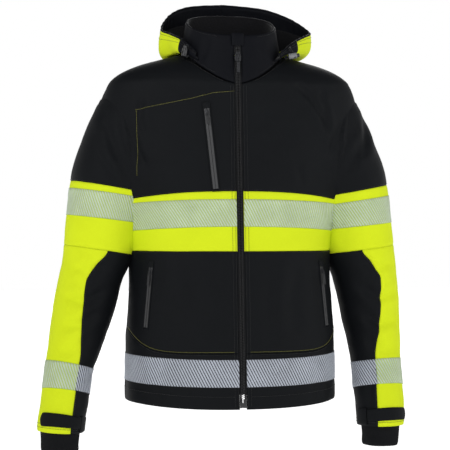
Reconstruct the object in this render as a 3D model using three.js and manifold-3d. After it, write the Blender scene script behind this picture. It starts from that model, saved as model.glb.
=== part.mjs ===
// A hooded hi-vis softshell work jacket in its worn shape, hanging from the loop inside its collar.
// Millimetres, +Z up, the front faces -Y, the wearer's left is +X, and the origin is the top of the hanger loop.
import * as THREE from "three";
import { mergeVertices } from "three/addons/utils/BufferGeometryUtils.js";
import Module from "manifold-3d";

const wasm = await Module();
wasm.setup();

// ---- driving sizes ----
const GAP = 0.3; // left between two pieces that touch
const CLOTH = 3; // softshell with its turned seams
const TAPE = 0.8; // reflective tape on its carrier
const TAPE_WIDTH = 50.8;
const AXIS_Y = -53; // the body's upright axis, in front of the loop

const HEM_Z = -669; // hem at the centre front
const HEM_RISE = 9; // how much higher the hem is at the sides
const HEM_HALF_WIDTH = 201;
const WAIST_HALF_WIDTH = 193;
const CHEST_HALF_WIDTH = 187;
const SHOULDER_HALF_WIDTH = 247;
const HEM_BACK_DEPTH = 112;
const CHEST_BACK_DEPTH = 116;
const COLLAR_TOP_Z = 18; // at the centre front
const COLLAR_TOP_FRONT = 78; // centre front to axis, at the collar's top
const FRONT_LEAN = 0.088; // the zip line runs forward this much per mm down
const BODY_ROUNDNESS = 2.3; // exponent of the body's section

const BAND_TOP_Z = -272;
const BAND_BOTTOM_Z = -382;
const BAND_TOP_DROP = 15; // the band's top edge is this much lower at the sides
const CHEST_TAPE_Z = -312; // middle of the tape at the centre front
const CHEST_TAPE_DROP = 7;
const HEM_TAPE_Z = -604;
const HEM_TAPE_RISE = 6;
const HEM_SEAM_Z = -568; // seam between the front body and its hem panel
const HEM_SEAM_RISE = 42;

const COLLAR_BASE = { half: 95, front: 86, back: 62, z: -73, backZ: -5 };
const COLLAR_TOP = { half: 84, back: 55, backZ: 70 };

const SLEEVE_ROUND = 1.07; // the sleeve is this much deeper than it is wide
const CAP_TOP_Z = -114;
const SLEEVE_BAND_TOP_Z = -262;
const SLEEVE_BAND_BOTTOM_Z = -380;
const SLEEVE_TAPE_Z = -298;
const ELBOW_Z = -480;
const FOREARM_TAPE_Z = -618;
const SLEEVE_HEM_Z = -714;
const CUFF_END_Z = -753;
const CUFF_RADIUS = 34;
const CUFF_CLOTH = 2.4;
const TAB_HEIGHT = 21;
const TAB_CLOTH = 2.4;

const ZIP_GAP = 13; // bare width between the two front edges
const ZIP_TOP_Z = COLLAR_TOP_Z - 4;
const ZIP_BOTTOM_Z = HEM_Z + 3;
const SLIDER_Z = -22; // where the main slider rests
const TEETH_WIDTH = 2.6; // one row of teeth
const TEETH_THICKNESS = 2.6;
const ZIP_SLOT = 1.4; // between the two rows, where the slider's post runs
const ZIP_CLOTH = 1.0; // zip tape

// ---- small tools ----
const mm = (x, y, z) => new THREE.Vector3(x, y, z);
const clamp = (x, low, high) => Math.min(high, Math.max(low, x));
const steps = (a, b, n) => Array.from({ length: n + 1 }, (_, i) => a + ((b - a) * i) / n);
const rad = (degrees) => (degrees * Math.PI) / 180;

// A smooth curve through rows of [key, value], with no overshoot between them. Keys rise.
function through(rows) {
  const slope = rows.map((row, i) => {
    if (i === 0 || i === rows.length - 1) return 0;
    const before = (row[1] - rows[i - 1][1]) / (row[0] - rows[i - 1][0]);
    const after = (rows[i + 1][1] - row[1]) / (rows[i + 1][0] - row[0]);
    return before * after <= 0 ? 0 : (2 * before * after) / (before + after);
  });
  return (key) => {
    const k = clamp(key, rows[0][0], rows.at(-1)[0]);
    const i = clamp(rows.findIndex((row) => row[0] >= k), 1, rows.length - 1);
    const [k0, v0] = rows[i - 1];
    const [k1, v1] = rows[i];
    const h = k1 - k0;
    const t = (k - k0) / h;
    return (
      v0 * (1 + 2 * t) * (1 - t) ** 2 +
      slope[i - 1] * h * t * (1 - t) ** 2 +
      v1 * t * t * (3 - 2 * t) -
      slope[i] * h * t * t * (1 - t)
    );
  };
}

function toSolid(geometry) {
  const bare = geometry.clone();
  bare.deleteAttribute("normal");
  bare.deleteAttribute("uv");
  const merged = mergeVertices(bare, 1e-4);
  const vertProperties = new Float32Array(merged.attributes.position.array);
  const make = (triVerts) => new wasm.Manifold(new wasm.Mesh({ numProp: 3, vertProperties, triVerts }));
  const index = new Uint32Array(merged.index.array);
  const solid = make(index);
  return solid.volume() > 0 ? solid : make(index.reverse());
}

function toGeometry(solid) {
  const mesh = solid.getMesh();
  return new THREE.BufferGeometry()
    .setAttribute("position", new THREE.BufferAttribute(mesh.vertProperties, 3))
    .setIndex(new THREE.BufferAttribute(mesh.triVerts, 1));
}

// A point of a surface moved along its outward normal. A surface is a function of (u, v).
function lifted(surface, u, v, distance) {
  const e = 1e-3;
  const du = surface(u + e, v).sub(surface(u - e, v));
  const dv = surface(u, v + e).sub(surface(u, v - e));
  const normal = du.cross(dv).normalize();
  return surface(u, v).addScaledVector(normal, distance);
}

// A closed sheet of cloth on a surface, between lift and lift - thickness. wrap closes it into a tube.
function sheet(surface, us, vs, thickness, lift = 0, wrap = false) {
  const points = [];
  for (const depth of [lift, lift - thickness])
    for (const v of vs) for (const u of us) points.push(...lifted(surface, u, v, depth).toArray());
  const index = [];
  const id = (face, j, i) => (face * vs.length + j) * us.length + (wrap ? i % (us.length - 1) : i);
  const quad = (a, b, c, d) => index.push(a, b, c, a, c, d);
  for (let j = 0; j < vs.length - 1; j++)
    for (let i = 0; i < us.length - 1; i++) {
      quad(id(0, j, i), id(0, j, i + 1), id(0, j + 1, i + 1), id(0, j + 1, i));
      quad(id(1, j, i), id(1, j + 1, i), id(1, j + 1, i + 1), id(1, j, i + 1));
    }
  const last = { i: us.length - 1, j: vs.length - 1 };
  for (let i = 0; i < last.i; i++) {
    quad(id(0, 0, i), id(1, 0, i), id(1, 0, i + 1), id(0, 0, i + 1));
    quad(id(0, last.j, i), id(0, last.j, i + 1), id(1, last.j, i + 1), id(1, last.j, i));
  }
  for (let j = 0; j < last.j && !wrap; j++) {
    quad(id(0, j, 0), id(0, j + 1, 0), id(1, j + 1, 0), id(1, j, 0));
    quad(id(0, j, last.i), id(1, j, last.i), id(1, j + 1, last.i), id(0, j + 1, last.i));
  }
  const geometry = new THREE.BufferGeometry()
    .setAttribute("position", new THREE.Float32BufferAttribute(points, 3))
    .setIndex(index);
  return toSolid(geometry);
}

// The whole volume inside a tube-shaped surface, its ends closed by fans.
function filled(surface, us, vs, lift = 0) {
  const points = [];
  for (const v of vs) for (const u of us.slice(0, -1)) points.push(lifted(surface, u, v, lift));
  const n = us.length - 1;
  const index = [];
  for (let j = 0; j < vs.length - 1; j++)
    for (let i = 0; i < n; i++) {
      const [a, b] = [j * n + i, j * n + ((i + 1) % n)];
      index.push(a, b, b + n, a, b + n, a + n);
    }
  for (const [row, flip] of [[0, true], [vs.length - 1, false]]) {
    const ring = points.slice(row * n, row * n + n);
    const middle = ring.reduce((sum, p) => sum.add(p), mm(0, 0, 0)).divideScalar(n);
    const hub = points.push(middle) - 1;
    for (let i = 0; i < n; i++) {
      const [a, b] = [row * n + i, row * n + ((i + 1) % n)];
      index.push(...(flip ? [b, a, hub] : [a, b, hub]));
    }
  }
  const geometry = new THREE.BufferGeometry()
    .setAttribute("position", new THREE.Float32BufferAttribute(points.flatMap((p) => p.toArray()), 3))
    .setIndex(index);
  return toSolid(geometry);
}

// The largest separate body of a solid: trimming can leave slivers behind.
const largest = (solid) => solid.decompose().reduce((a, b) => (a.volume() > b.volume() ? a : b));

// ---- materials ----
const cloth = (color) => new THREE.MeshStandardMaterial({ color, roughness: 0.85, metalness: 0 });
const BLACK = cloth(0x17191c);
const YELLOW = cloth(0xcfe021);
const NAVY_BLACK = cloth(0x12141c);
const SILVER = new THREE.MeshStandardMaterial({ color: 0xa9adb2, roughness: 0.4, metalness: 0.3 });
const ZIP_BLACK = new THREE.MeshStandardMaterial({ color: 0x1d1e22, roughness: 0.5, metalness: 0 });
const ZIP_GREY = new THREE.MeshStandardMaterial({ color: 0x46484b, roughness: 0.5, metalness: 0 });
const METAL = new THREE.MeshStandardMaterial({ color: 0x54565a, roughness: 0.35, metalness: 0.8 });
const GREY_PULL = new THREE.MeshStandardMaterial({ color: 0x6d7074, roughness: 0.6, metalness: 0 });

const jacket = new THREE.Group();
function add(name, solid, material, parent = jacket) {
  const made = new THREE.Mesh(solid.isBufferGeometry ? solid : toGeometry(solid), material);
  made.name = name;
  parent.add(made);
  return made;
}

// ---- the body: a superellipse section at each height ----
const frontDepth = (z) => COLLAR_TOP_FRONT + FRONT_LEAN * (COLLAR_TOP_Z - z);
const halfWidth = through([
  [HEM_Z - 20, HEM_HALF_WIDTH], [-540, WAIST_HALF_WIDTH + 5], [-480, WAIST_HALF_WIDTH], [-384, CHEST_HALF_WIDTH],
  [-335, CHEST_HALF_WIDTH + 3], [-290, CHEST_HALF_WIDTH + 13], [-230, SHOULDER_HALF_WIDTH - 27],
  [-173, SHOULDER_HALF_WIDTH - 5], [-130, SHOULDER_HALF_WIDTH], [-98, SHOULDER_HALF_WIDTH - 5],
  [-82, SHOULDER_HALF_WIDTH - 10], [-66, SHOULDER_HALF_WIDTH - 18], [-56, SHOULDER_HALF_WIDTH - 28],
  [-44, SHOULDER_HALF_WIDTH - 47], [-33, SHOULDER_HALF_WIDTH - 75], [-24, SHOULDER_HALF_WIDTH - 109],
  [-13, COLLAR_BASE.half], [-5, 62], [0, 22],
]);
const backDepth = through([
  [HEM_Z - 20, HEM_BACK_DEPTH], [-590, HEM_BACK_DEPTH - 4], [-470, CHEST_BACK_DEPTH - 12],
  [-384, CHEST_BACK_DEPTH - 8], [-250, CHEST_BACK_DEPTH + 2], [-150, CHEST_BACK_DEPTH],
  [-82, CHEST_BACK_DEPTH - 12], [-44, CHEST_BACK_DEPTH - 25], [-24, CHEST_BACK_DEPTH - 36],
  [-5, COLLAR_BASE.back], [0, 20],
]);
const neckFront = through([
  [COLLAR_BASE.z, frontDepth(COLLAR_BASE.z)], [-56, 80], [-44, 72], [-33, 63], [-24, 54], [-13, 42], [-5, 28], [0, 12],
]);
const bodyFront = (z) => (z > COLLAR_BASE.z ? neckFront(z) : frontDepth(z));

// angle 0 is the centre front and grows towards the wearer's left.
function bodyAt(angle, z) {
  const power = 2 / BODY_ROUNDNESS;
  const round = (c) => Math.sign(c) * Math.abs(c) ** power;
  const depth = Math.cos(angle) > 0 ? bodyFront(z) : backDepth(z);
  return mm(halfWidth(z) * round(Math.sin(angle)), AXIS_Y - depth * round(Math.cos(angle)), z);
}

// The angle at which the body's front reaches x, at a height.
const angleAtX = (x, z) => Math.sign(x) * Math.asin((Math.abs(x) / halfWidth(z)) ** (BODY_ROUNDNESS / 2));

// The height at which the body's surface, followed up at one angle, meets the neck's plan outline.
function neckZ(angle) {
  let [low, high] = [COLLAR_BASE.z - 25, -1];
  for (let i = 0; i < 26; i++) {
    const z = (low + high) / 2;
    const p = bodyAt(angle, z);
    const depth = Math.cos(angle) > 0 ? COLLAR_BASE.front : COLLAR_BASE.back;
    const outside =
      (Math.abs(p.x) / COLLAR_BASE.half) ** BODY_ROUNDNESS + (Math.abs(p.y - AXIS_Y) / depth) ** BODY_ROUNDNESS > 1;
    if (outside) low = z;
    else high = z;
  }
  return (low + high) / 2;
}

const PANEL_ANGLES = [0, 6, 15, 30, 45, 60, 75, 90, 105, 120, 135, 150, 165, 172].map(rad);
const wholeTurn = [...PANEL_ANGLES, ...[180, 188, 195, 210, 225, 240, 255, 270].map(rad)].concat(
  [285, 300, 315, 330, 345, 354, 360].map(rad),
);
const UPPER_ROWS = [0, 0.16, 0.32, 0.46, 0.58, 0.68, 0.77, 0.85, 0.91, 0.96, 1];
const mirroredLift = (side, thickness, lift) => (side < 0 ? thickness - lift : lift);

// A front panel, from the zip's edge to the side seam, between two seam lines.
function frontPanel(side, low, high, rows, { lift = 0, thickness = CLOTH } = {}) {
  const angles = PANEL_ANGLES.filter((a) => a > 0 && a < Math.PI / 2 - 0.1);
  const seam = GAP / 2 / CHEST_HALF_WIDTH;
  const surface = (u, v) => {
    const z = low(u) + GAP / 2 + (high(u) - low(u) - GAP) * v;
    const edge = angleAtX(ZIP_GAP / 2, z);
    const point = bodyAt(edge + u * (1 - edge / (Math.PI / 2)), z);
    return point.setX(side * point.x);
  };
  return sheet(surface, [0, ...angles, Math.PI / 2 - seam], rows, thickness, mirroredLift(side, thickness, lift));
}

// A back panel, from side seam to side seam.
function backPanel(low, high, rows, { lift = 0, thickness = CLOTH } = {}) {
  const seam = GAP / 2 / CHEST_HALF_WIDTH;
  const angles = wholeTurn.filter((a) => a > Math.PI / 2 + 0.1 && a < 1.5 * Math.PI - 0.1);
  const surface = (u, v) => bodyAt(u, low(u) + GAP / 2 + (high(u) - low(u) - GAP) * v);
  return sheet(surface, [Math.PI / 2 + seam, ...angles, 1.5 * Math.PI - seam], rows, thickness, lift);
}

// 0 at the centre front and back, 1 at the sides.
const sideShare = (angle) => Math.sin(angle) ** 2;
const hemLine = (a) => HEM_Z + HEM_RISE * sideShare(a);
const hemSeam = (a) => HEM_SEAM_Z + HEM_SEAM_RISE * sideShare(a) ** 4;
const bandBottom = () => BAND_BOTTOM_Z;
const bandTop = (a) => BAND_TOP_Z - BAND_TOP_DROP * sideShare(a);
const chestTapeAt = (offset) => (a) => CHEST_TAPE_Z - CHEST_TAPE_DROP * sideShare(a) + offset;
const hemTapeAt = (offset) => (a) => HEM_TAPE_Z + HEM_TAPE_RISE * sideShare(a) + offset;
const SIDES = [["right", -1], ["left", 1]];

// ---- sleeves: ovals along a line that follows the arm, as functions of height ----
const ARMS = {
  right: {
    reach: through([
      [SLEEVE_HEM_Z - 10, 324], [-641, 313], [-589, 304], [-549, 293], [-480, 276], [-430, 264], [-382, 252],
      [-320, 245], [-252, 236], [-192, 214], [-146, 193], [CAP_TOP_Z, 178],
    ]),
    half: through([
      [SLEEVE_HEM_Z - 10, 43], [-641, 43.5], [-589, 45], [-549, 50], [-480, 57], [-430, 59], [-382, 63],
      [-252, 66], [-146, 69], [CAP_TOP_Z, 60],
    ]),
  },
  left: {
    reach: through([
      [SLEEVE_HEM_Z - 10, 287], [-672, 286], [-599, 283], [-545, 279], [-480, 272], [-430, 265], [-382, 256],
      [-320, 249], [-252, 238], [-192, 214], [-146, 193], [CAP_TOP_Z, 178],
    ]),
    half: through([
      [SLEEVE_HEM_Z - 10, 45], [-672, 46], [-599, 47], [-545, 52], [-480, 58], [-430, 61], [-382, 65],
      [-252, 67], [-146, 69], [CAP_TOP_Z, 60],
    ]),
  },
};
const armForward = through([[SLEEVE_HEM_Z, -28], [-600, -12], [-480, 4], [-252, 6], [CAP_TOP_Z, 4]]);

// turn 0 is the front of the sleeve and grows towards its outside. scale shrinks the oval.
function sleeveSurface(name, side, shrink = 0) {
  const { reach, half } = ARMS[name];
  const centre = (z) => mm(side * reach(z), AXIS_Y + armForward(z), z);
  return (turn, z) => {
    const up = centre(z + 1).sub(centre(z - 1)).normalize();
    const back = mm(0, 1, 0).addScaledVector(up, -up.y).normalize();
    const out = back.clone().cross(up).multiplyScalar(side);
    const wide = half(z) - shrink;
    return centre(z)
      .addScaledVector(out, wide * Math.sin(turn))
      .addScaledVector(back, -wide * SLEEVE_ROUND * Math.cos(turn));
  };
}
const SLEEVE_STEPS = 16;
const sleeveTurn = steps(0, 2 * Math.PI, SLEEVE_STEPS);
// The front edge of the black inner-sleeve panel, as a turn angle in degrees by height.
const innerEdge = through([
  [-714, -22], [-590, -16], [-534, 0], [-478, 8], [-440, 12], [-405, 0], [SLEEVE_BAND_BOTTOM_Z, -12],
]);
const INNER_BACK_EDGE = -150;

// Part of a sleeve: a tube, or the strip between two turn lines, between two heights.
function sleevePart(name, side, from, to, rows, { lift = 0, thickness = CLOTH, turns = null, shrink = 0 } = {}) {
  const base = sleeveSurface(name, side, shrink);
  const [low, high] = [from + GAP / 2, to - GAP / 2];
  const zs = steps(low, high, rows);
  const face = mirroredLift(side, thickness, lift);
  if (!turns) return sheet(base, sleeveTurn, zs, thickness, face, true);
  const [start, end] = turns;
  const pad = GAP / 2 / 50;
  const surface = (u, z) => base(start(z) + pad + (end(z) - start(z) - 2 * pad) * u, z);
  return sheet(surface, steps(0, 1, SLEEVE_STEPS / 2), zs, thickness, face);
}

// ---- solids used to trim the pieces where sleeves meet the body ----
const bodyHeights = steps(-410, -84, 24).concat(steps(-80, -2, 13));
const bodyTurn = steps(0, 2 * Math.PI, 60);
const bodyVolume = (lift) => filled(bodyAt, bodyTurn, bodyHeights, lift);
const BODY_CUTTER = bodyVolume(2 * GAP);
const armHeights = steps(-420, CAP_TOP_Z, 20);
const armVolume = (name, side, lift) => filled(sleeveSurface(name, side), sleeveTurn, armHeights, side * lift);
const ARM_HOLES = SIDES.map(([name, side]) => armVolume(name, side, -CLOTH));
const ARM_CUTTERS = SIDES.map(([name, side]) => armVolume(name, side, TAPE + GAP));
const without = (solid, cutters) => largest(cutters.reduce((rest, cutter) => rest.subtract(cutter), solid));

// ---- body panels ----
for (const [name, side] of SIDES) {
  const front = (part, low, high, rows, material, options) =>
    add(`front_${name}_${part}`, without(frontPanel(side, low, high, rows, options), ARM_HOLES), material);
  front("upper", bandTop, neckZ, UPPER_ROWS, BLACK);
  front("band", bandBottom, bandTop, steps(0, 1, 3), YELLOW);
  front("lower", hemSeam, bandBottom, steps(0, 1, 4), BLACK);
  front("hem", hemLine, hemSeam, steps(0, 1, 2), BLACK);
}
add("back_upper", without(backPanel(bandTop, neckZ, UPPER_ROWS), ARM_HOLES), BLACK);
add("back_band", without(backPanel(bandBottom, bandTop, steps(0, 1, 3)), ARM_HOLES), YELLOW);
add("back_lower", backPanel(hemLine, bandBottom, steps(0, 1, 5)), BLACK);

const onTop = { lift: 1.5 * GAP + TAPE, thickness: TAPE };
const CHORD = 0.9; // the sleeve strips' flat facets need this much more room under a tube
const [tapeLow, tapeHigh] = [-TAPE_WIDTH / 2, TAPE_WIDTH / 2];
for (const [name, side] of SIDES) {
  const chest = frontPanel(side, chestTapeAt(tapeLow), chestTapeAt(tapeHigh), steps(0, 1, 2), onTop);
  add(`chest_tape_${name}`, without(chest, ARM_CUTTERS), SILVER);
  const hem = frontPanel(side, hemTapeAt(tapeLow), hemTapeAt(tapeHigh), [0, 1], onTop);
  add(`hem_tape_${name}`, hem, SILVER);
}
const chestBack = backPanel(chestTapeAt(tapeLow), chestTapeAt(tapeHigh), steps(0, 1, 2), onTop);
add("chest_tape_back", without(chestBack, ARM_CUTTERS), SILVER);
add("hem_tape_back", backPanel(hemTapeAt(tapeLow), hemTapeAt(tapeHigh), [0, 1], onTop), SILVER);

// ---- collar: from the neck seam up to its top edge ----
function collarAt(angle, v) {
  const base = bodyAt(angle, neckZ(angle));
  const depth = base.y < AXIS_Y ? COLLAR_TOP_FRONT / COLLAR_BASE.front : COLLAR_TOP.back / COLLAR_BASE.back;
  const front = AXIS_Y - COLLAR_BASE.front;
  const share = clamp((base.y - front) / (COLLAR_BASE.front + COLLAR_BASE.back), 0, 1);
  const top = mm(
    (base.x * COLLAR_TOP.half) / COLLAR_BASE.half,
    AXIS_Y + (base.y - AXIS_Y) * depth,
    COLLAR_TOP_Z + (COLLAR_TOP.backZ - COLLAR_TOP_Z) * share,
  );
  return base.lerp(top, v);
}
const collarAngles = [1.9, 5, 10, 18, 28, 42, 60, 75, 90, 110, 135, 158, 180];
const collarTurn = [...collarAngles, ...collarAngles.slice(0, -1).map((a) => 360 - a).reverse()].map(rad);
const aboveSeam = (angle, v) => collarAt(angle, 0.004 + 0.996 * v);
const collar = sheet(aboveSeam, collarTurn, steps(0, 1, 3), CLOTH);
const zipClearance = new THREE.BoxGeometry(ZIP_GAP, 60, 300).translate(0, AXIS_Y - 85, 0);
add("collar", largest(collar.subtract(toSolid(zipClearance))), NAVY_BLACK);

// ---- a straight frame on the garment: along the zip, out of the cloth, and across ----
function zipFrame(top, bottom, outward) {
  const along = top.clone().sub(bottom).normalize();
  const out = outward.clone().addScaledVector(along, -outward.dot(along)).normalize();
  return new THREE.Matrix4().makeBasis(out.clone().cross(along).negate(), out, along);
}
// A box in a zip's frame: sizes and centre are across, out and along.
function block(matrix, origin, [w, d, h], [x = 0, y = 0, z = 0] = []) {
  const place = matrix.clone().setPosition(origin);
  return toSolid(new THREE.BoxGeometry(w, d, h).translate(x, y, z).applyMatrix4(place));
}
const union = (...solids) => solids.reduce((a, b) => a.add(b));
const ridge = (z) => mm(0, AXIS_Y - frontDepth(z), z);

// ---- main zip ----
const mainFrame = zipFrame(ridge(ZIP_TOP_Z), ridge(ZIP_BOTTOM_Z), mm(0, -1, 0));
const zipMiddle = ridge((ZIP_TOP_Z + ZIP_BOTTOM_Z) / 2);
const zipLength = ridge(ZIP_TOP_Z).distanceTo(ridge(ZIP_BOTTOM_Z));
const teethMiddle = -CLOTH / 2;
const BOX = { width: 11, thickness: 4.4, height: 17 };
const SLIDER = { width: 11.4, length: 19, plate: 1.5, clearance: 0.3 };
for (const [name, side] of SIDES) {
  const inner = ZIP_SLOT / 2;
  const outer = ZIP_GAP / 2 - GAP;
  const teeth = [side * (inner + TEETH_WIDTH / 2), teethMiddle, 0];
  const row = block(mainFrame, zipMiddle, [TEETH_WIDTH, TEETH_THICKNESS, zipLength], teeth);
  const span = outer - inner - TEETH_WIDTH / 2;
  const tape = block(mainFrame, zipMiddle, [span, ZIP_CLOTH, zipLength], [side * (outer - span / 2), teethMiddle, 0]);
  let half = union(row, tape);
  if (side > 0) {
    const at = [-GAP, teethMiddle, -zipLength / 2 + BOX.height / 2];
    const box = block(mainFrame, zipMiddle, [BOX.width, BOX.thickness, BOX.height], at);
    const pinRoom = [-GAP - BOX.width / 2, teethMiddle, -zipLength / 2 + BOX.height / 2];
    const pin = block(mainFrame, zipMiddle, [BOX.width, TEETH_THICKNESS + 2 * GAP, BOX.height + 2], pinRoom);
    half = union(half, box.subtract(pin));
  }
  add(`main_zip_${name}`, half, ZIP_BLACK);
}

// A slider: a plate on each side of the teeth, joined by a post in the slot between the rows.
function slider(matrix, origin, middle, { width, length, plate, clearance, slot, teeth, lower = true }) {
  const reach = teeth / 2 + clearance;
  const upper = block(matrix, origin, [width, plate, length], [0, middle + reach + plate / 2, 0]);
  const bridge = block(matrix, origin, [3, 1.8, length * 0.5], [0, middle + reach + plate + 0.8, 0]);
  if (!lower) return union(upper, bridge);
  const under = block(matrix, origin, [width, plate, length], [0, middle - reach - plate / 2, 0]);
  const postAt = [0, middle, length / 2 - 3];
  const post = block(matrix, origin, [slot - 2 * clearance, 2 * reach + plate, 5], postAt);
  return union(upper, bridge, under, post);
}
// A puller hanging in front of its slider from the bridge's lower end.
function puller(matrix, origin, middle, { width, length, thickness }) {
  return block(matrix, origin, [width, thickness, length], [0, middle, -length / 2]);
}
const mainSlider = { ...SLIDER, slot: ZIP_SLOT, teeth: TEETH_THICKNESS };
add("main_slider", slider(mainFrame, ridge(SLIDER_Z), teethMiddle, mainSlider), METAL);
const PULLER = { width: 6, length: 30, thickness: 2 };
const mainPullAt = teethMiddle + TEETH_THICKNESS / 2 + SLIDER.clearance + SLIDER.plate + 1.8 + GAP + PULLER.thickness / 2;
add("main_puller", puller(mainFrame, ridge(SLIDER_Z - 2), mainPullAt, PULLER), METAL);

const GUARD = { width: 24, thickness: 2, height: 25 };
const guardAt = [0, GAP + GUARD.thickness / 2, -GUARD.height / 2 + 4];
add("chin_guard", block(mainFrame, ridge(COLLAR_TOP_Z), [GUARD.width, GUARD.thickness, GUARD.height], guardAt), NAVY_BLACK);

// ---- pocket zips: a straight strip lying on the cloth, its slider above it ----
function onFront(x, z, lift) {
  return lifted(bodyAt, angleAtX(x, z), z, lift);
}
const STRIP = 1.2;
function pocketZip(name, top, bottom, width, colour, pull) {
  const middle = top.clone().add(bottom).multiplyScalar(0.5);
  const outward = mm(middle.x / 190 ** 2, (middle.y - AXIS_Y) / 110 ** 2, 0).normalize();
  const frame = zipFrame(top, bottom, outward);
  const long = top.distanceTo(bottom);
  const garage = block(frame, top, [width + 3, STRIP, 12], [0, 0, 5]);
  add(`${name}_zip`, union(block(frame, middle, [width, STRIP, long], []), garage), colour);
  const size = { width: 7.5, length: 11, plate: 1.2, clearance: GAP, slot: 1, teeth: STRIP, lower: false };
  const origin = top.clone().add(mm(0, 0, 0).setFromMatrixColumn(frame, 2).multiplyScalar(-8));
  add(`${name}_slider`, slider(frame, origin, 0, size), METAL);
  const level = STRIP / 2 + GAP + 1.2 + 1.8 + GAP + 0.9;
  add(`${name}_puller`, puller(frame, origin, level, { width: 4.6, length: pull, thickness: 1.6 }), GREY_PULL);
}
const ON_CLOTH = GAP + STRIP / 2 + 1.2;
pocketZip("chest_pocket", onFront(-60, -120, ON_CLOTH), onFront(-45, -268, ON_CLOTH), 10, ZIP_GREY, 22);
for (const [name, side] of SIDES) {
  const [top, bottom] = [onFront(side * 160, -412, ON_CLOTH - 1), onFront(side * 170, -522, ON_CLOTH - 1)];
  pocketZip(`hand_pocket_${name}`, top, bottom, 8, ZIP_BLACK, 26);
}

// ---- sleeves ----
const ELBOW_END_Z = -548;
const degreesAt = (f) => (z) => rad(f(z));
for (const [name, side] of SIDES) {
  const part = (key, solid, material) => add(`sleeve_${name}_${key}`, solid, material);
  const tube = (from, to, rows, options) => sleevePart(name, side, from, to, rows, options);
  const shift = name === "left" ? -13 : 0;
  const bandTopZ = SLEEVE_BAND_TOP_Z + shift / 2;
  part("cap", without(tube(bandTopZ, CAP_TOP_Z - 4, 7), [BODY_CUTTER]), BLACK);
  part("band", without(tube(SLEEVE_BAND_BOTTOM_Z, bandTopZ, 6), [BODY_CUTTER]), YELLOW);
  const [tapeFrom, tapeTo] = [SLEEVE_TAPE_Z + shift - 24, SLEEVE_TAPE_Z + shift + 24];
  part("tape", without(tube(tapeFrom, tapeTo, 2, onTop), [BODY_CUTTER.add(bodyVolume(CLOTH))]), SILVER);
  const outer = { turns: [degreesAt(innerEdge), () => rad(INNER_BACK_EDGE + 360)] };
  const inner = { turns: [() => rad(INNER_BACK_EDGE), degreesAt(innerEdge)] };
  part("elbow_outer", tube(ELBOW_END_Z, SLEEVE_BAND_BOTTOM_Z, 8, outer), YELLOW);
  part("elbow_inner", tube(ELBOW_END_Z, SLEEVE_BAND_BOTTOM_Z, 8, inner), BLACK);
  part("forearm_outer", tube(SLEEVE_HEM_Z, ELBOW_END_Z, 6, outer), YELLOW);
  part("forearm_inner", tube(SLEEVE_HEM_Z, ELBOW_END_Z, 6, inner), BLACK);
  const overStrips = { lift: onTop.lift + CHORD + 0.2, thickness: TAPE };
  part("forearm_tape", tube(FOREARM_TAPE_Z - 25.2, FOREARM_TAPE_Z + 25.2, 2, overStrips), SILVER);

  const mouth = sleeveSurface(name, side);
  const { half } = ARMS[name];
  const narrowing = through([[CUFF_END_Z, CUFF_RADIUS], [SLEEVE_HEM_Z - 4, CUFF_RADIUS + 2], [-690, half(-690) - CLOTH - GAP - CHORD - 0.4]]);
  const centre = (z) => mm(side * ARMS[name].reach(z), AXIS_Y + armForward(z), z);
  const cuffSurface = (turn, z) => {
    const r = narrowing(z);
    return centre(z).add(mm(side * r * Math.sin(turn), -r * SLEEVE_ROUND * Math.cos(turn), 0));
  };
  const cuffZ = [CUFF_END_Z, -735, SLEEVE_HEM_Z - 4, -704, -690];
  part("storm_cuff", sheet(cuffSurface, sleeveTurn, cuffZ, CUFF_CLOTH, mirroredLift(side, CUFF_CLOTH, 0), true), NAVY_BLACK);

  const tabTurns = steps(rad(-48), rad(62), 7);
  const tabZ = [SLEEVE_HEM_Z + 8, SLEEVE_HEM_Z + 8 + TAB_HEIGHT];
  const tabFace = mirroredLift(side, TAB_CLOTH, GAP + CHORD + TAB_CLOTH);
  part("cuff_tab", sheet(mouth, tabTurns, tabZ, TAB_CLOTH, tabFace), NAVY_BLACK);
}

// ---- hood, standing open behind the collar ----
const HOOD_FROM = 20;
const ringed = (values) => through([HOOD_FROM, 45, 70, 90, 120, 150, 180].map((angle, i) => [angle, values[i]]));
const HOOD = {
  lean: ringed([4, 9, 15, 20, 16, 8, 6]), // the whole hood leans to the wearer's left
  rimX: ringed([80, 107, 130, 146, 126, 72, 0]),
  rimY: ringed([-118, -94, -52, -12, 36, 66, 76]),
  rimZ: ringed([-14, 10, 26, 38, 68, 93, 100]),
  bagX: ringed([84, 116, 140, 160, 140, 84, 0]),
  bagY: ringed([-122, -98, -54, -18, 68, 128, 150]),
  bagZ: ringed([-28, -20, -26, -36, -60, -78, -86]),
};
function hoodAt(angle, v) {
  const side = angle < Math.PI ? 1 : -1;
  const a = 180 - Math.abs(180 - (angle * 180) / Math.PI);
  const seam = collarAt(angle, 0.12);
  const start = seam.clone().add(mm(seam.x, (seam.y - AXIS_Y) * 1.1, 0).normalize().multiplyScalar(5 * GAP));
  const bag = mm(side * HOOD.bagX(a) + HOOD.lean(a), HOOD.bagY(a), HOOD.bagZ(a));
  const rim = mm(side * HOOD.rimX(a) + HOOD.lean(a), HOOD.rimY(a), HOOD.rimZ(a));
  return start
    .multiplyScalar((1 - v) ** 2)
    .addScaledVector(bag, 2 * v * (1 - v))
    .addScaledVector(rim, v * v);
}
const hoodHalf = [HOOD_FROM, 32, 45, 60, 75, 90, 105, 120, 140, 160];
const hoodTurn = [...hoodHalf, 180, ...hoodHalf.map((a) => 360 - a).reverse()].map(rad);
const hoodRows = steps(0, 1, 8);
const lined = -2 - 2 * GAP;
add("hood_outer", sheet(hoodAt, hoodTurn, hoodRows, 2), YELLOW);
add("hood_lining", sheet(hoodAt, hoodTurn, [...hoodRows.slice(1, 7), 0.86], 1.2, lined), NAVY_BLACK);
add("hood_rim", sheet(hoodAt, hoodTurn, [0.88, 1], 1.6, lined), BLACK);

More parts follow.
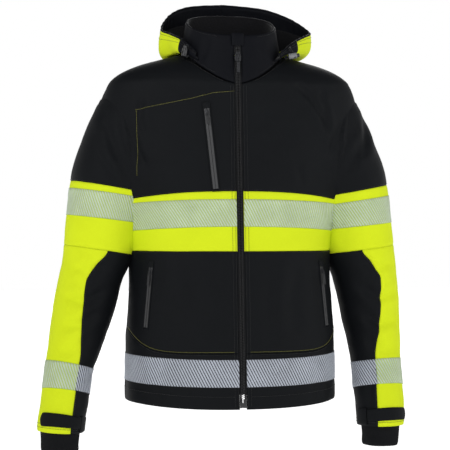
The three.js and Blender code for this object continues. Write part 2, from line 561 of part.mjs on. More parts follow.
// ---- cord locks at the hood's front ends: a barrel on the cord, and its spring button ----
const LOCK = { radius: 5.5, length: 15, button: 3.6, stroke: 3.5, at: 36, height: 0.6, tilted: 3 };
for (const [name, side] of SIDES) {
  const lean = side > 0 ? rad(80) : rad(8); // one lies flat, the other hangs upright
  const angle = side > 0 ? rad(LOCK.at) : rad(360 - LOCK.at);
  const spot = lifted(hoodAt, angle, LOCK.height, LOCK.radius + GAP + (side > 0 ? LOCK.tilted : 0));
  const place = new THREE.Matrix4().makeRotationY(lean).setPosition(spot);
  const cylinder = (radius, length, z) =>
    toSolid(new THREE.CylinderGeometry(radius, radius, length, 12).rotateX(Math.PI / 2).translate(0, 0, z).applyMatrix4(place));
  const bore = cylinder(LOCK.button + 0.5, 9, LOCK.length / 2);
  add(`cord_lock_${name}`, cylinder(LOCK.radius, LOCK.length, 0).subtract(bore), GREY_PULL);
  add(`cord_button_${name}`, cylinder(LOCK.button, 9, LOCK.length / 2 + 1.2 + LOCK.stroke - 1), ZIP_BLACK);
}

// ---- hanger loop: a flat strip standing inside the back of the neck, its top at the origin ----
const LOOP = { half: 30, width: 7, thickness: 1.6, drop: 16 };
const loopOuter = new THREE.Shape();
loopOuter.absarc(LOOP.drop - LOOP.half, -LOOP.drop, LOOP.drop, Math.PI, Math.PI / 2, true);
loopOuter.absarc(LOOP.half - LOOP.drop, -LOOP.drop, LOOP.drop, Math.PI / 2, 0, true);
const inside = LOOP.drop - LOOP.thickness;
loopOuter.absarc(LOOP.half - LOOP.drop, -LOOP.drop, inside, 0, Math.PI / 2, false);
loopOuter.absarc(LOOP.drop - LOOP.half, -LOOP.drop, inside, Math.PI / 2, Math.PI, false);
const arch = new THREE.ExtrudeGeometry(loopOuter, { depth: LOOP.width, bevelEnabled: false, curveSegments: 6 });
arch.rotateX(Math.PI / 2).translate(0, LOOP.width / 2, 0);
add("hanger_loop", toSolid(arch), ZIP_BLACK);

export default jacket;
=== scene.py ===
# A hooded high-visibility softshell work jacket in its worn shape, hung from the loop inside its collar.
# Metres; +X is the wearer's left, -Y the front, +Z up, and the origin is the top of the hanger loop.
import math

import bmesh
import bpy
import numpy as np
from mathutils import Matrix, Vector


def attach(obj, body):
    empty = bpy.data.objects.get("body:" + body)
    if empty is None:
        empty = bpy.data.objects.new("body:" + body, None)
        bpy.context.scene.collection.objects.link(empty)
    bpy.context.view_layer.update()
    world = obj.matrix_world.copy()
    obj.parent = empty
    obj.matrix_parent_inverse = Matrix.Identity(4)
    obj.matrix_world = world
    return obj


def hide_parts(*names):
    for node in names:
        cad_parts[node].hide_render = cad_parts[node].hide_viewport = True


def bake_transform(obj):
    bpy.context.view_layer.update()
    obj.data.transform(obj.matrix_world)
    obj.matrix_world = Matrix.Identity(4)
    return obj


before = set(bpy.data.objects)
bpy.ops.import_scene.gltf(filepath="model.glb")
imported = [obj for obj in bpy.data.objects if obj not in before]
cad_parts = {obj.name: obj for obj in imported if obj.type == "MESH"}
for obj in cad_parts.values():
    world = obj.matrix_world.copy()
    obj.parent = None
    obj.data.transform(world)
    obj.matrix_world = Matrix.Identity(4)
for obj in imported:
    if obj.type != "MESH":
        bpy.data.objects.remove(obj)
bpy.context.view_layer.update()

# ---------------------------------------------------------------------------------------------------------
# Camera, lights and floor: a plain pale studio with big soft lamps, seen from a little to the wearer's right.
# ---------------------------------------------------------------------------------------------------------
scene = bpy.context.scene
scene.view_settings.view_transform = "Standard"


def facing(place, target):
    return (Vector(target) - Vector(place)).to_track_quat("-Z", "Y").to_matrix().to_4x4()


view_target = Vector((-0.004, -0.02, -0.334))
view_turn = math.radians(-10)
view_distance = 3.0
camera_data = bpy.data.cameras.new("camera")
camera_data.lens = 125
camera = bpy.data.objects.new("camera", camera_data)
scene.collection.objects.link(camera)
camera_place = view_target + view_distance * Vector((math.sin(view_turn), -math.cos(view_turn), 0))
camera.matrix_world = Matrix.Translation(camera_place) @ facing(camera_place, view_target)
scene.camera = camera

for lamp_name, place, size, watts in [
    ("key_lamp", (-1.5, -2.0, 1.3), 1.2, 27),
    ("fill_lamp", (2.1, -1.5, 0.6), 1.4, 13),
    ("low_lamp", (0.2, -2.4, -0.8), 1.6, 3),
    ("back_lamp", (0.6, 2.1, 1.3), 1.6, 24),
]:
    lamp_data = bpy.data.lights.new(lamp_name, "AREA")
    lamp_data.size = size
    lamp_data.energy = watts
    lamp = bpy.data.objects.new(lamp_name, lamp_data)
    lamp.matrix_world = Matrix.Translation(place) @ facing(place, view_target)
    scene.collection.objects.link(lamp)

world = bpy.data.worlds.new("studio")
scene.world = world
world.use_nodes = True
backdrop = world.node_tree.nodes["Background"]
backdrop.inputs["Color"].default_value = (1, 1, 1, 1)
# The studio is white all round at eye level and dimmer overhead and below.
direction = world.node_tree.nodes.new("ShaderNodeTexCoord")
height = world.node_tree.nodes.new("ShaderNodeSeparateXYZ")
above = world.node_tree.nodes.new("ShaderNodeMath")
above.operation = "ABSOLUTE"
dimming = world.node_tree.nodes.new("ShaderNodeMapRange")
dimming.inputs["From Min"].default_value = 0.36
dimming.inputs["From Max"].default_value = 0.60
dimming.inputs["To Min"].default_value = 1.0
dimming.inputs["To Max"].default_value = 0.12
world.node_tree.links.new(direction.outputs["Generated"], height.inputs["Vector"])
world.node_tree.links.new(height.outputs["Z"], above.inputs[0])
world.node_tree.links.new(above.outputs[0], dimming.inputs["Value"])
world.node_tree.links.new(dimming.outputs["Result"], backdrop.inputs["Strength"])


def principled(name, color, roughness, metallic=0.0, sheen=0.0, coat=0.0, specular=0.5):
    """A material with its Principled shader, ready for more nodes."""
    made = bpy.data.materials.new(name)
    made.use_nodes = True
    shader = made.node_tree.nodes["Principled BSDF"]
    shader.inputs["Base Color"].default_value = (*color, 1)
    shader.inputs["Roughness"].default_value = roughness
    shader.inputs["Metallic"].default_value = metallic
    shader.inputs["Sheen Weight"].default_value = sheen
    shader.inputs["Sheen Roughness"].default_value = 0.4
    shader.inputs["Coat Weight"].default_value = coat
    shader.inputs["Specular IOR Level"].default_value = specular
    return made, shader


floor_paint, floor_shader = principled("floor_paint", (0.9, 0.9, 0.9), 0.9)
floor_shader.inputs["Emission Color"].default_value = (1, 1, 1, 1)
floor_nodes = floor_paint.node_tree
floor_place = floor_nodes.nodes.new("ShaderNodeTexCoord")
floor_reach = floor_nodes.nodes.new("ShaderNodeVectorMath")
floor_reach.operation = "LENGTH"
brightening = floor_nodes.nodes.new("ShaderNodeMapRange")
brightening.inputs["From Min"].default_value = 1.6
brightening.inputs["From Max"].default_value = 4.5
brightening.inputs["To Min"].default_value = 0.42
brightening.inputs["To Max"].default_value = 1.0
floor_nodes.links.new(floor_place.outputs["Object"], floor_reach.inputs[0])
floor_nodes.links.new(floor_reach.outputs["Value"], brightening.inputs["Value"])
floor_nodes.links.new(brightening.outputs["Result"], floor_shader.inputs["Emission Strength"])
floor_mesh = bpy.data.meshes.new("floor")
FLOOR_HALF = 14
FLOOR_Z = -1.05
corners = [(x * FLOOR_HALF, y * FLOOR_HALF, FLOOR_Z) for x, y in ((-1, -1), (1, -1), (1, 1), (-1, 1))]
floor_mesh.from_pydata(corners, [], [(0, 1, 2, 3)])
floor = bpy.data.objects.new("floor", floor_mesh)
scene.collection.objects.link(floor)
floor_mesh.materials.append(floor_paint)

# ---------------------------------------------------------------------------------------------------------
# The cloth's shape: the trunk is a rounded oval at each height and each sleeve an oval along a bent line.
# The trunk and the sleeves flow into each other at the armholes, and both carry the folds of worn cloth.
# Lengths in this section are in millimetres.
# ---------------------------------------------------------------------------------------------------------
AXIS_Y = -53.0
ROUNDNESS = 2.3
ZIP_HALF_GAP = 6.5
CLOTH = 3.0


def through(rows):
    """A smooth curve through [key, value] rows, with no overshoot."""
    keys, values = np.array(rows, float).T
    rise = np.diff(values) / np.diff(keys)
    slope = np.zeros(len(keys))
    same = rise[:-1] * rise[1:] > 0
    slope[1:-1][same] = (2 * rise[:-1] * rise[1:] / np.where(same, rise[:-1] + rise[1:], 1))[same]

    def at(key):
        k = np.clip(key, keys[0], keys[-1])
        i = np.clip(np.searchsorted(keys, k), 1, len(keys) - 1)
        h = keys[i] - keys[i - 1]
        t = (k - keys[i - 1]) / h
        return (
            values[i - 1] * (1 + 2 * t) * (1 - t) ** 2
            + slope[i - 1] * h * t * (1 - t) ** 2
            + values[i] * t * t * (3 - 2 * t)
            - slope[i] * h * t * t * (1 - t)
        )

    return at


half_width = through([
    [-689, 201], [-540, 198], [-480, 193], [-384, 187], [-335, 190], [-290, 200], [-230, 220], [-173, 242],
    [-130, 247], [-98, 242], [-82, 237], [-66, 229], [-56, 219], [-44, 200], [-33, 172], [-24, 138],
    [-13, 95], [-5, 62], [0, 22],
])
back_depth = through([
    [-689, 112], [-590, 108], [-470, 104], [-384, 108], [-250, 118], [-150, 116], [-82, 104], [-44, 91],
    [-24, 80], [-5, 62], [0, 20],
])
neck_front = through([[-73, 86], [-56, 80], [-44, 72], [-33, 63], [-24, 54], [-13, 42], [-5, 28], [0, 12]])


def front_depth(z):
    return np.where(z > -73, neck_front(z), 78 + 0.088 * (18 - z))


def body_at(angle, z):
    """A point of the trunk. Angle 0 is the centre front and grows towards the wearer's left."""
    power = 2 / ROUNDNESS
    side, ahead = np.sin(angle), np.cos(angle)
    depth = np.where(ahead > 0, front_depth(z), back_depth(z))
    x = half_width(z) * np.sign(side) * np.abs(side) ** power
    y = AXIS_Y - depth * np.sign(ahead) * np.abs(ahead) ** power
    return np.stack([x, y, z + 0 * x], -1)


def angle_at_x(x, z):
    return np.sign(x) * np.arcsin(np.clip((np.abs(x) / half_width(z)) ** (ROUNDNESS / 2), 0, 1))


def neck_z(angle):
    """The height at which the trunk meets the neck seam."""
    low, high = np.full(np.shape(angle), -98.0), np.full(np.shape(angle), -1.0)
    for _ in range(24):
        z = (low + high) / 2
        p = body_at(angle, z)
        depth = np.where(np.cos(angle) > 0, 86, 62)
        out = (np.abs(p[..., 0]) / 95) ** ROUNDNESS + (np.abs(p[..., 1] - AXIS_Y) / depth) ** ROUNDNESS > 1
        low, high = np.where(out, z, low), np.where(out, high, z)
    return (low + high) / 2


# The sleeves' caps are alike: how far out their middle lies and half their width, by height.
CAP_REACH = [[-192, 214], [-146, 193], [-124, 185], [-106, 181], [-62, 178]]
CAP_HALF = [[-146, 69], [-124, 67], [-106, 64], [-92, 60], [-82, 56], [-74, 48], [-68, 36], [-62, 10]]
ARMS = {
    "right": (
        -1,
        through([
            [-724, 324], [-641, 313], [-589, 304], [-549, 293], [-480, 276], [-430, 264], [-382, 252],
            [-320, 245], [-252, 236], *CAP_REACH,
        ]),
        through([
            [-724, 43], [-641, 43.5], [-589, 45], [-549, 50], [-480, 57], [-430, 59], [-382, 63], [-252, 66],
            *CAP_HALF,
        ]),
    ),
    "left": (
        1,
        through([
            [-724, 287], [-672, 286], [-599, 283], [-545, 279], [-480, 272], [-430, 265], [-382, 256],
            [-320, 249], [-252, 238], *CAP_REACH,
        ]),
        through([
            [-724, 45], [-672, 46], [-599, 47], [-545, 52], [-480, 58], [-430, 61], [-382, 65], [-252, 67],
            *CAP_HALF,
        ]),
    ),
}
arm_forward = through([[-714, -28], [-600, -12], [-480, 4], [-252, 6], [-114, 4]])
sleeve_round = through([[-700, 1.07], [-262, 1.07], [-190, 0.98], [-124, 0.88], [-62, 0.84]])
CAP_TOP_Z = -63.0


def arm_frame(arm, z):
    """The sleeve's middle, its outward and backward directions and its direction along the arm."""
    side, reach, _ = ARMS[arm]

    def middle(h):
        return np.stack([side * reach(h), AXIS_Y + arm_forward(h), h + 0 * reach(h)], -1)

    up = middle(z + 1) - middle(z - 1)
    up /= np.linalg.norm(up, axis=-1, keepdims=True)
    back = np.array([0, 1, 0]) - up * up[..., 1:2]
    back /= np.linalg.norm(back, axis=-1, keepdims=True)
    return middle(z), np.cross(back, up) * side, back, up


def sleeve_at(arm, turn, z):
    """A point of a sleeve. Turn 0 is its front and grows towards its outside."""
    middle, out, back, _ = arm_frame(arm, z)
    half = ARMS[arm][2](z)[..., None]
    turn = np.asarray(turn)[..., None]
    return middle + out * half * np.sin(turn) - back * half * sleeve_round(z)[..., None] * np.cos(turn)


def normals(points, middle=(0, AXIS_Y, 0)):
    """Unit normals of a grid of points, rows up and columns around, pointing away from an upright."""
    across = np.gradient(points, axis=1)
    along = np.gradient(points, axis=0)
    n = np.cross(across, along)
    n /= np.maximum(np.linalg.norm(n, axis=-1, keepdims=True), 1e-9)
    outward = points - middle
    return n * np.sign((n[..., :2] * outward[..., :2]).sum())


def body_field(p):
    depth = np.where(p[..., 1] < AXIS_Y, front_depth(p[..., 2]), back_depth(p[..., 2]))
    inside = (np.abs(p[..., 0]) / half_width(p[..., 2])) ** ROUNDNESS
    inside = inside + (np.abs(p[..., 1] - AXIS_Y) / depth) ** ROUNDNESS
    return inside ** (1 / ROUNDNESS) - 1


def sleeve_field(arm, p):
    z = p[..., 2].copy()
    for _ in range(3):
        middle, _, _, up = arm_frame(arm, z)
        z = np.clip(z + ((p - middle) * up).sum(-1) * up[..., 2], -760, CAP_TOP_Z)
    middle, out, back, up = arm_frame(arm, z)
    half = ARMS[arm][2](z)
    away = p - middle
    beside = np.hypot((away * out).sum(-1) / half, (away * back).sum(-1) / (half * sleeve_round(z))) - 1
    return np.maximum(beside, (away * up).sum(-1) / half)


def distance(field, p):
    """How far a point is outside a shape, from its field and that field's slope, and which way is out."""
    here = field(p)
    step = np.eye(3)
    slope = np.stack([field(p + step[i]) - here for i in range(3)], -1)
    steep = np.maximum(np.linalg.norm(slope, axis=-1), 2e-3)
    return np.where(here > 0.9, 99, here / steep), slope / steep[..., None]


ARMHOLE_BLEND = 34.0
BRIDGE_TOP_Z = -118


def fillet(d, normal, other, z):
    """How far cloth bridges out where the other shape is d away: over the creases below the shoulder, and not
    between two shapes that run the same way."""
    k = ARMHOLE_BLEND
    crease = np.clip(1.15 * (1 - (normal * other).sum(-1)), 0, 1) * np.clip((BRIDGE_TOP_Z - z) / 60, 0, 1)
    return crease * np.where(d > 0, np.clip(k - d, 0, k) ** 2 / (4 * k), k / 4 + 0.6 * d)


# ---------------------------------------------------------------------------------------------------------
# Softshell: a smooth woven face bonded to fleece. The face has a very fine weave and a faint sheen.
# The trunk is cut as panels sewn edge to edge: yoke, chest band, lower body and hem.
# ---------------------------------------------------------------------------------------------------------
def nodes_of(material):
    tree = material.node_tree
    return tree, tree.nodes, tree.links


def add_node(tree, kind, **settings):
    node = tree.nodes.new(kind)
    for key, value in settings.items():
        if key in node.inputs:
            node.inputs[key].default_value = value
        else:
            setattr(node, key, value)
    return node


def math_node(tree, operation, a, b=None, clamp=False):
    node = tree.nodes.new("ShaderNodeMath")
    node.operation = operation
    node.use_clamp = clamp
    for socket, value in zip(node.inputs, (a, b)):
        if value is None:
            continue
        if isinstance(value, (int, float)):
            socket.default_value = value
        else:
            tree.links.new(value, socket)
    return node.outputs[0]


def new_group(name, inputs, outputs):
    group = bpy.data.node_groups.new(name, "ShaderNodeTree")
    for label, kind, default in inputs:
        socket = group.interface.new_socket(label, in_out="INPUT", socket_type=kind)
        socket.default_value = default
    for label, kind in outputs:
        group.interface.new_socket(label, in_out="OUTPUT", socket_type=kind)
    return group, group.nodes.new("NodeGroupInput"), group.nodes.new("NodeGroupOutput")


# A plain weave from crossed threads, with a slow change of shade over the cloth and a few worn patches.
weave_group, weave_in, weave_out = new_group(
    "cloth_weave",
    [
        ("Color", "NodeSocketColor", (0.02, 0.02, 0.02, 1)),
        ("Thread", "NodeSocketFloat", 1600.0),
        ("Shade", "NodeSocketFloat", 0.15),
        ("Roughness", "NodeSocketFloat", 0.7),
    ],
    [("Color", "NodeSocketColor"), ("Roughness", "NodeSocketFloat"), ("Height", "NodeSocketFloat")],
)
coordinates = add_node(weave_group, "ShaderNodeTexCoord").outputs["Object"]
scaled = add_node(weave_group, "ShaderNodeVectorMath", operation="SCALE")
weave_group.links.new(coordinates, scaled.inputs[0])
weave_group.links.new(weave_in.outputs["Thread"], scaled.inputs["Scale"])
split = add_node(weave_group, "ShaderNodeSeparateXYZ")
weave_group.links.new(scaled.outputs[0], split.inputs[0])
ribs = math_node(weave_group, "SINE", math_node(weave_group, "ADD", split.outputs["X"], split.outputs["Y"]))
rows = math_node(weave_group, "SINE", split.outputs["Z"])
weave = math_node(weave_group, "MULTIPLY", ribs, rows)
cloud = add_node(weave_group, "ShaderNodeTexNoise", Scale=9.0, Detail=4.0, Roughness=0.6)
weave_group.links.new(coordinates, cloud.inputs["Vector"])
fuzz = add_node(weave_group, "ShaderNodeTexNoise", Scale=420.0, Detail=2.0)
weave_group.links.new(coordinates, fuzz.inputs["Vector"])
cloud_off = math_node(weave_group, "SUBTRACT", cloud.outputs["Fac"], 0.5)
shade = math_node(weave_group, "MULTIPLY", cloud_off, weave_in.outputs["Shade"])
fuzz_off = math_node(weave_group, "SUBTRACT", fuzz.outputs["Fac"], 0.5)
speck = math_node(weave_group, "MULTIPLY", fuzz_off, weave_in.outputs["Shade"])
shaded = math_node(weave_group, "ADD", 1.0, math_node(weave_group, "MULTIPLY", shade, 2.0))
gain = math_node(weave_group, "ADD", shaded, math_node(weave_group, "MULTIPLY", speck, 1.6))
tint = add_node(weave_group, "ShaderNodeVectorMath", operation="SCALE")
weave_group.links.new(weave_in.outputs["Color"], tint.inputs[0])
weave_group.links.new(gain, tint.inputs["Scale"])
weave_group.links.new(tint.outputs[0], weave_out.inputs["Color"])
rougher = math_node(weave_group, "MULTIPLY", shade, 0.6)
rough = math_node(weave_group, "ADD", weave_in.outputs["Roughness"], rougher, clamp=True)
weave_group.links.new(rough, weave_out.inputs["Roughness"])
height = math_node(weave_group, "ADD", math_node(weave_group, "MULTIPLY", weave, 0.35), fuzz.outputs["Fac"])
weave_group.links.new(height, weave_out.inputs["Height"])


def woven(name, color, roughness, shade=0.15, thread=2600.0, sheen=0.2, bump=0.25, sheen_tint=(1, 1, 1)):
    made, shader = principled(name, color, roughness, sheen=sheen, specular=0.09)
    shader.inputs["Sheen Tint"].default_value = (*sheen_tint, 1)
    tree, _, links = nodes_of(made)
    cloth = add_node(tree, "ShaderNodeGroup", node_tree=weave_group)
    cloth.inputs["Color"].default_value = (*color, 1)
    cloth.inputs["Thread"].default_value = thread
    cloth.inputs["Shade"].default_value = shade
    cloth.inputs["Roughness"].default_value = roughness
    relief = add_node(tree, "ShaderNodeBump", Strength=bump, Distance=0.0003)
    links.new(cloth.outputs["Color"], shader.inputs["Base Color"])
    links.new(cloth.outputs["Roughness"], shader.inputs["Roughness"])
    links.new(cloth.outputs["Height"], relief.inputs["Height"])
    links.new(relief.outputs["Normal"], shader.inputs["Normal"])
    return made


black_cloth = woven("black_softshell", (0.0036, 0.0043, 0.0054), 0.62, shade=0.22, sheen=0.005)
yellow_cloth = woven("yellow_softshell", (0.58, 0.69, 0.012), 0.8, shade=0.05, sheen=0.0)
navy_cloth = woven("navy_black_softshell", (0.0022, 0.0026, 0.0044), 0.66, shade=0.2, sheen=0.006)
fleece = woven("black_fleece", (0.006, 0.006, 0.007), 0.95, shade=0.5, thread=700.0, sheen=0.3, bump=0.8)


def cloth_piece(name, points, material, body, stands_for=(), keep=None, thickness=CLOTH, uv=None,
                closed=False, edge_roll=0.0, lining=None, strips=False):
    """A cloth piece from a grid of points (rows up, columns around, outside facing out), given its thickness
    inwards. keep says which points still lie outside their neighbour; strips leaves a gap after each pair of
    columns. A piece with no body is left loose, with its thickness made real."""
    grid = np.array(points, float)
    rows_n, columns = grid.shape[:2]
    if edge_roll:
        n = np.cross(np.gradient(grid, axis=1), np.gradient(grid, axis=0))
        n /= np.maximum(np.linalg.norm(n, axis=-1, keepdims=True), 1e-9)
        step_up = np.linalg.norm(np.diff(grid, axis=0), axis=-1).mean()
        step_round = np.linalg.norm(np.diff(grid, axis=1), axis=-1).mean()
        i, j = np.meshgrid(np.arange(rows_n), np.arange(columns), indexing="ij")
        to_edge = np.minimum(i, rows_n - 1 - i) * step_up
        if not closed:
            to_edge = np.minimum(to_edge, np.minimum(j, columns - 1 - j) * step_round)
        grid = grid - n * (edge_roll * np.exp(-((to_edge / 3.2) ** 2)))[..., None]
    wrap = columns if closed else columns - 1
    index = np.arange(rows_n * columns).reshape(rows_n, columns)
    a = index[:-1, :wrap]
    b = np.roll(index, -1, axis=1)[:-1, :wrap]
    c = np.roll(index, -1, axis=1)[1:, :wrap]
    d = index[1:, :wrap]
    faces = np.stack([a, b, c, d], -1).reshape(-1, 4)
    if strips:
        faces = faces.reshape(rows_n - 1, wrap, 4)[:, ::2].reshape(-1, 4)
    if keep is not None:
        faces = faces[keep.reshape(-1)[faces].any(axis=1)]
    used = np.unique(faces)
    renumber = np.full(rows_n * columns, -1)
    renumber[used] = np.arange(len(used))
    mesh = bpy.data.meshes.new(name)
    mesh.from_pydata((grid.reshape(-1, 3)[used] / 1000).tolist(), [], renumber[faces].tolist())
    if uv is not None:
        layer = mesh.uv_layers.new(name="along")
        flat = uv.reshape(-1, 2)[used]
        loops = np.zeros(len(mesh.loops), int)
        mesh.loops.foreach_get("vertex_index", loops)
        layer.data.foreach_set("uv", flat[loops].astype(np.float32).ravel())
    mesh.materials.append(material)
    mesh.polygons.foreach_set("use_smooth", np.ones(len(mesh.polygons), bool))
    made = bpy.data.objects.new(name, mesh)
    scene.collection.objects.link(made)
    wall = made.modifiers.new("wall", "SOLIDIFY")
    wall.thickness = thickness / 1000
    wall.offset = -1
    if lining is not None:
        mesh.materials.append(lining)
        wall.material_offset = 1
    if body is None:
        made.data = bpy.data.meshes.new_from_object(made.evaluated_get(bpy.context.evaluated_depsgraph_get()))
        made.modifiers.clear()
    else:
        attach(made, body)
    if stands_for:
        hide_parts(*stands_for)
    return made


def folds(p, creases):
    """Hollows and ridges along creases: each is its points, width, depth and the ridge beside it."""
    lift = np.zeros(p.shape[:-1])
    for line, width, depth, ridge in creases:
        line = np.array(line, float)
        best = np.full(p.shape[:-1], 1e9)
        signed = np.zeros(p.shape[:-1])
        share = np.zeros(p.shape[:-1])
        count = len(line) - 1
        for k in range(count):
            start, run = line[k], line[k + 1] - line[k]
            t = np.clip(((p - start) * run).sum(-1) / (run @ run), 0, 1)
            off = p - start - t[..., None] * run
            d = np.linalg.norm(off, axis=-1)
            nearer = d < best
            best = np.where(nearer, d, best)
            turn = np.sign(run[0] * off[..., 1] - run[1] * off[..., 0])
            signed = np.where(nearer, d * turn, signed)
            share = np.where(nearer, (k + t) / count, share)
        taper = np.clip(np.sin(np.pi * np.clip(share, 0.02, 0.98)) * 1.6, 0, 1)
        lift -= depth * taper * np.exp(-((signed / width) ** 2))
        lift += ridge * taper * np.exp(-(((signed - 1.7 * width) / (1.3 * width)) ** 2))
        lift += 0.6 * ridge * taper * np.exp(-(((signed + 1.7 * width) / (1.3 * width)) ** 2))
    return 1.35 * lift


def soft_noise(p, size, seed, octaves=2):
    """Smooth, slow unevenness from sums of waves in seeded directions."""
    rng = np.random.default_rng(seed)
    total = np.zeros(p.shape[:-1])
    for octave in range(octaves):
        for _ in range(7):
            direction = rng.normal(size=3)
            direction /= np.linalg.norm(direction)
            wave = 2 * np.pi / (size * rng.uniform(0.7, 1.5) / 2**octave)
            total += np.sin((p @ direction) * wave + rng.uniform(0, 6.28)) / 2**octave
    return total / 5


# The pocket zips' ends as (x, z) points. The cloth lies flat beside them.
POCKET_LINES = [((-60, -120), (-45, -268)), ((-160, -412), (-170, -522)), ((160, -412), (170, -522))]


def clear_of(p, line, near, far):
    start, run = np.array(line[0], float), np.array(line[1], float) - np.array(line[0], float)
    t = np.clip(((p - start) * run).sum(-1) / (run @ run), 0, 1)
    d = np.linalg.norm(p - start - t[..., None] * run, axis=-1)
    return np.clip((d - near) / (far - near), 0, 1)


# Folds of the trunk's front as (x, z) lines: drag lines from the armholes, and soft vertical drape below.
TRUNK_FRONT_FOLDS = [
    ([(108, -66), (140, -96), (162, -128), (181, -172)], 7, 3.2, 1.6),
    ([(158, -80), (169, -118), (174, -150)], 6, 2.8, 1.2),
    ([(204, -140), (190, -170), (178, -205)], 8, 3.5, 1.8),
    ([(112, -220), (122, -262)], 7, 1.6, 0.8),
    ([(-196, -150), (-186, -196), (-168, -232)], 8, 3.2, 1.6),
    ([(-176, -92), (-182, -140), (-170, -176)], 7, 2.4, 1.2),
    ([(-120, -330), (-92, -420), (-84, -500)], 18, 2.2, 1.4),
    ([(110, -400), (96, -470), (100, -540)], 16, 2.0, 1.2),
    ([(-30, -400), (-26, -480), (-34, -560)], 14, 1.4, 0.8),
    ([(58, -396), (50, -480), (56, -560)], 15, 1.6, 0.9),
    ([(150, -560), (146, -620), (152, -668)], 10, 1.6, 1.0),
    ([(-140, -560), (-150, -610), (-146, -668)], 11, 1.8, 1.0),
]
TRUNK_BACK_FOLDS = [
    ([(-150, -90), (-120, -150), (-70, -190)], 16, 3.0, 1.8),
    ([(150, -90), (120, -150), (70, -190)], 16, 3.0, 1.8),
    ([(-120, -380), (-90, -470), (-70, -560)], 20, 3.0, 2.0),
    ([(100, -380), (92, -460), (70, -570)], 20, 3.0, 2.0),
    ([(0, -300), (4, -420), (-6, -540)], 22, 2.4, 1.6),
    ([(-178, -210), (-150, -262), (-110, -290)], 12, 2.6, 1.4),
    ([(178, -210), (150, -262), (110, -290)], 12, 2.6, 1.4),
]


def trunk(angle, z):
    """The trunk's cloth: the plain shape, bridged to the sleeves at the armholes, with its folds."""
    angle, z = np.broadcast_arrays(np.asarray(angle, float), np.asarray(z, float))
    p = body_at(angle, z)
    n = normals(p)
    to_right, off_right = distance(lambda q: sleeve_field("right", q), p)
    to_left, off_left = distance(lambda q: sleeve_field("left", q), p)
    apart = np.minimum(to_right, to_left)
    other = np.where((to_right < to_left)[..., None], off_right, off_left)
    front = np.clip((AXIS_Y + 15 - p[..., 1]) / 30, 0, 1)
    flat = p[..., [0, 2]]
    lift = front * folds(flat, TRUNK_FRONT_FOLDS) + (1 - front) * folds(flat, TRUNK_BACK_FOLDS)
    near_zip = np.clip((np.abs(p[..., 0]) - 8) / 40, 0, 1) * front + (1 - front)
    for line in POCKET_LINES:
        near_zip = near_zip * (1 - front * (1 - clear_of(flat, line, 11, 26)))
    lift = lift + 1.5 * soft_noise(p, 150, 3) + 0.5 * soft_noise(p, 46, 8)
    quiet = np.clip((-10 - z) / 60, 0, 1) * near_zip * np.clip(np.abs(apart) / 14, 0, 1)
    return p + n * (fillet(apart, n, other, z) + lift * quiet)[..., None], apart


def seam_line(top, drop, power=1):
    return lambda a: top + drop * np.sin(a) ** (2 * power)


hem_line = seam_line(-669, 9)
hem_seam = seam_line(-568, 42, 4)
band_bottom = seam_line(-382, 0)
band_top = seam_line(-272, -15)


def panel_grid(side, low, high, columns, rows, back=False):
    """Angles and heights over a trunk panel; a front panel starts at the zip."""
    share = np.linspace(0, 1, rows)[:, None]
    if back:
        u = np.linspace(np.pi / 2, 1.5 * np.pi, columns)[None, :]
        return np.broadcast_to(u, (rows, columns)), low(u) + (high(u) - low(u)) * share
    u = np.linspace(0, np.pi / 2, columns)[None, :]
    z = low(u) + (high(u) - low(u)) * share
    edge = angle_at_x(ZIP_HALF_GAP, z)
    return edge + u * (1 - edge / (np.pi / 2)), z


def turned(points, side):
    """The wearer's right side runs the other way round, so that its outside still faces out."""
    return points[:, ::-1] if side < 0 else points


def trunk_panel(name, side, low, high, columns, rows, material, stands_for, back=False):
    angle, z = panel_grid(side, low, high, columns, rows, back)
    points, apart = trunk(angle if back or side > 0 else -angle, z)
    if not back:
        points, apart = turned(points, side), turned(apart, side)
    cloth_piece(name, points, material, "jacket", stands_for, keep=apart > -7, edge_roll=0.9, lining=fleece)


for name, side in (("right", -1), ("left", 1)):
    for part, low, high, rows, material in [
        ("upper", band_top, neck_z, 90, black_cloth),
        ("band", band_bottom, band_top, 40, yellow_cloth),
        ("lower", hem_seam, band_bottom, 64, black_cloth),
        ("hem", hem_line, hem_seam, 40, black_cloth),
    ]:
        trunk_panel(f"{part}_front_{name}", side, low, high, 84, rows, material, [f"front_{name}_{part}"])
trunk_panel("yoke_back", 1, band_top, neck_z, 150, 90, black_cloth, ["back_upper"], back=True)
trunk_panel("band_back", 1, band_bottom, band_top, 150, 40, yellow_cloth, ["back_band"], back=True)
trunk_panel("lower_back", 1, hem_line, band_bottom, 150, 90, black_cloth, ["back_lower"], back=True)
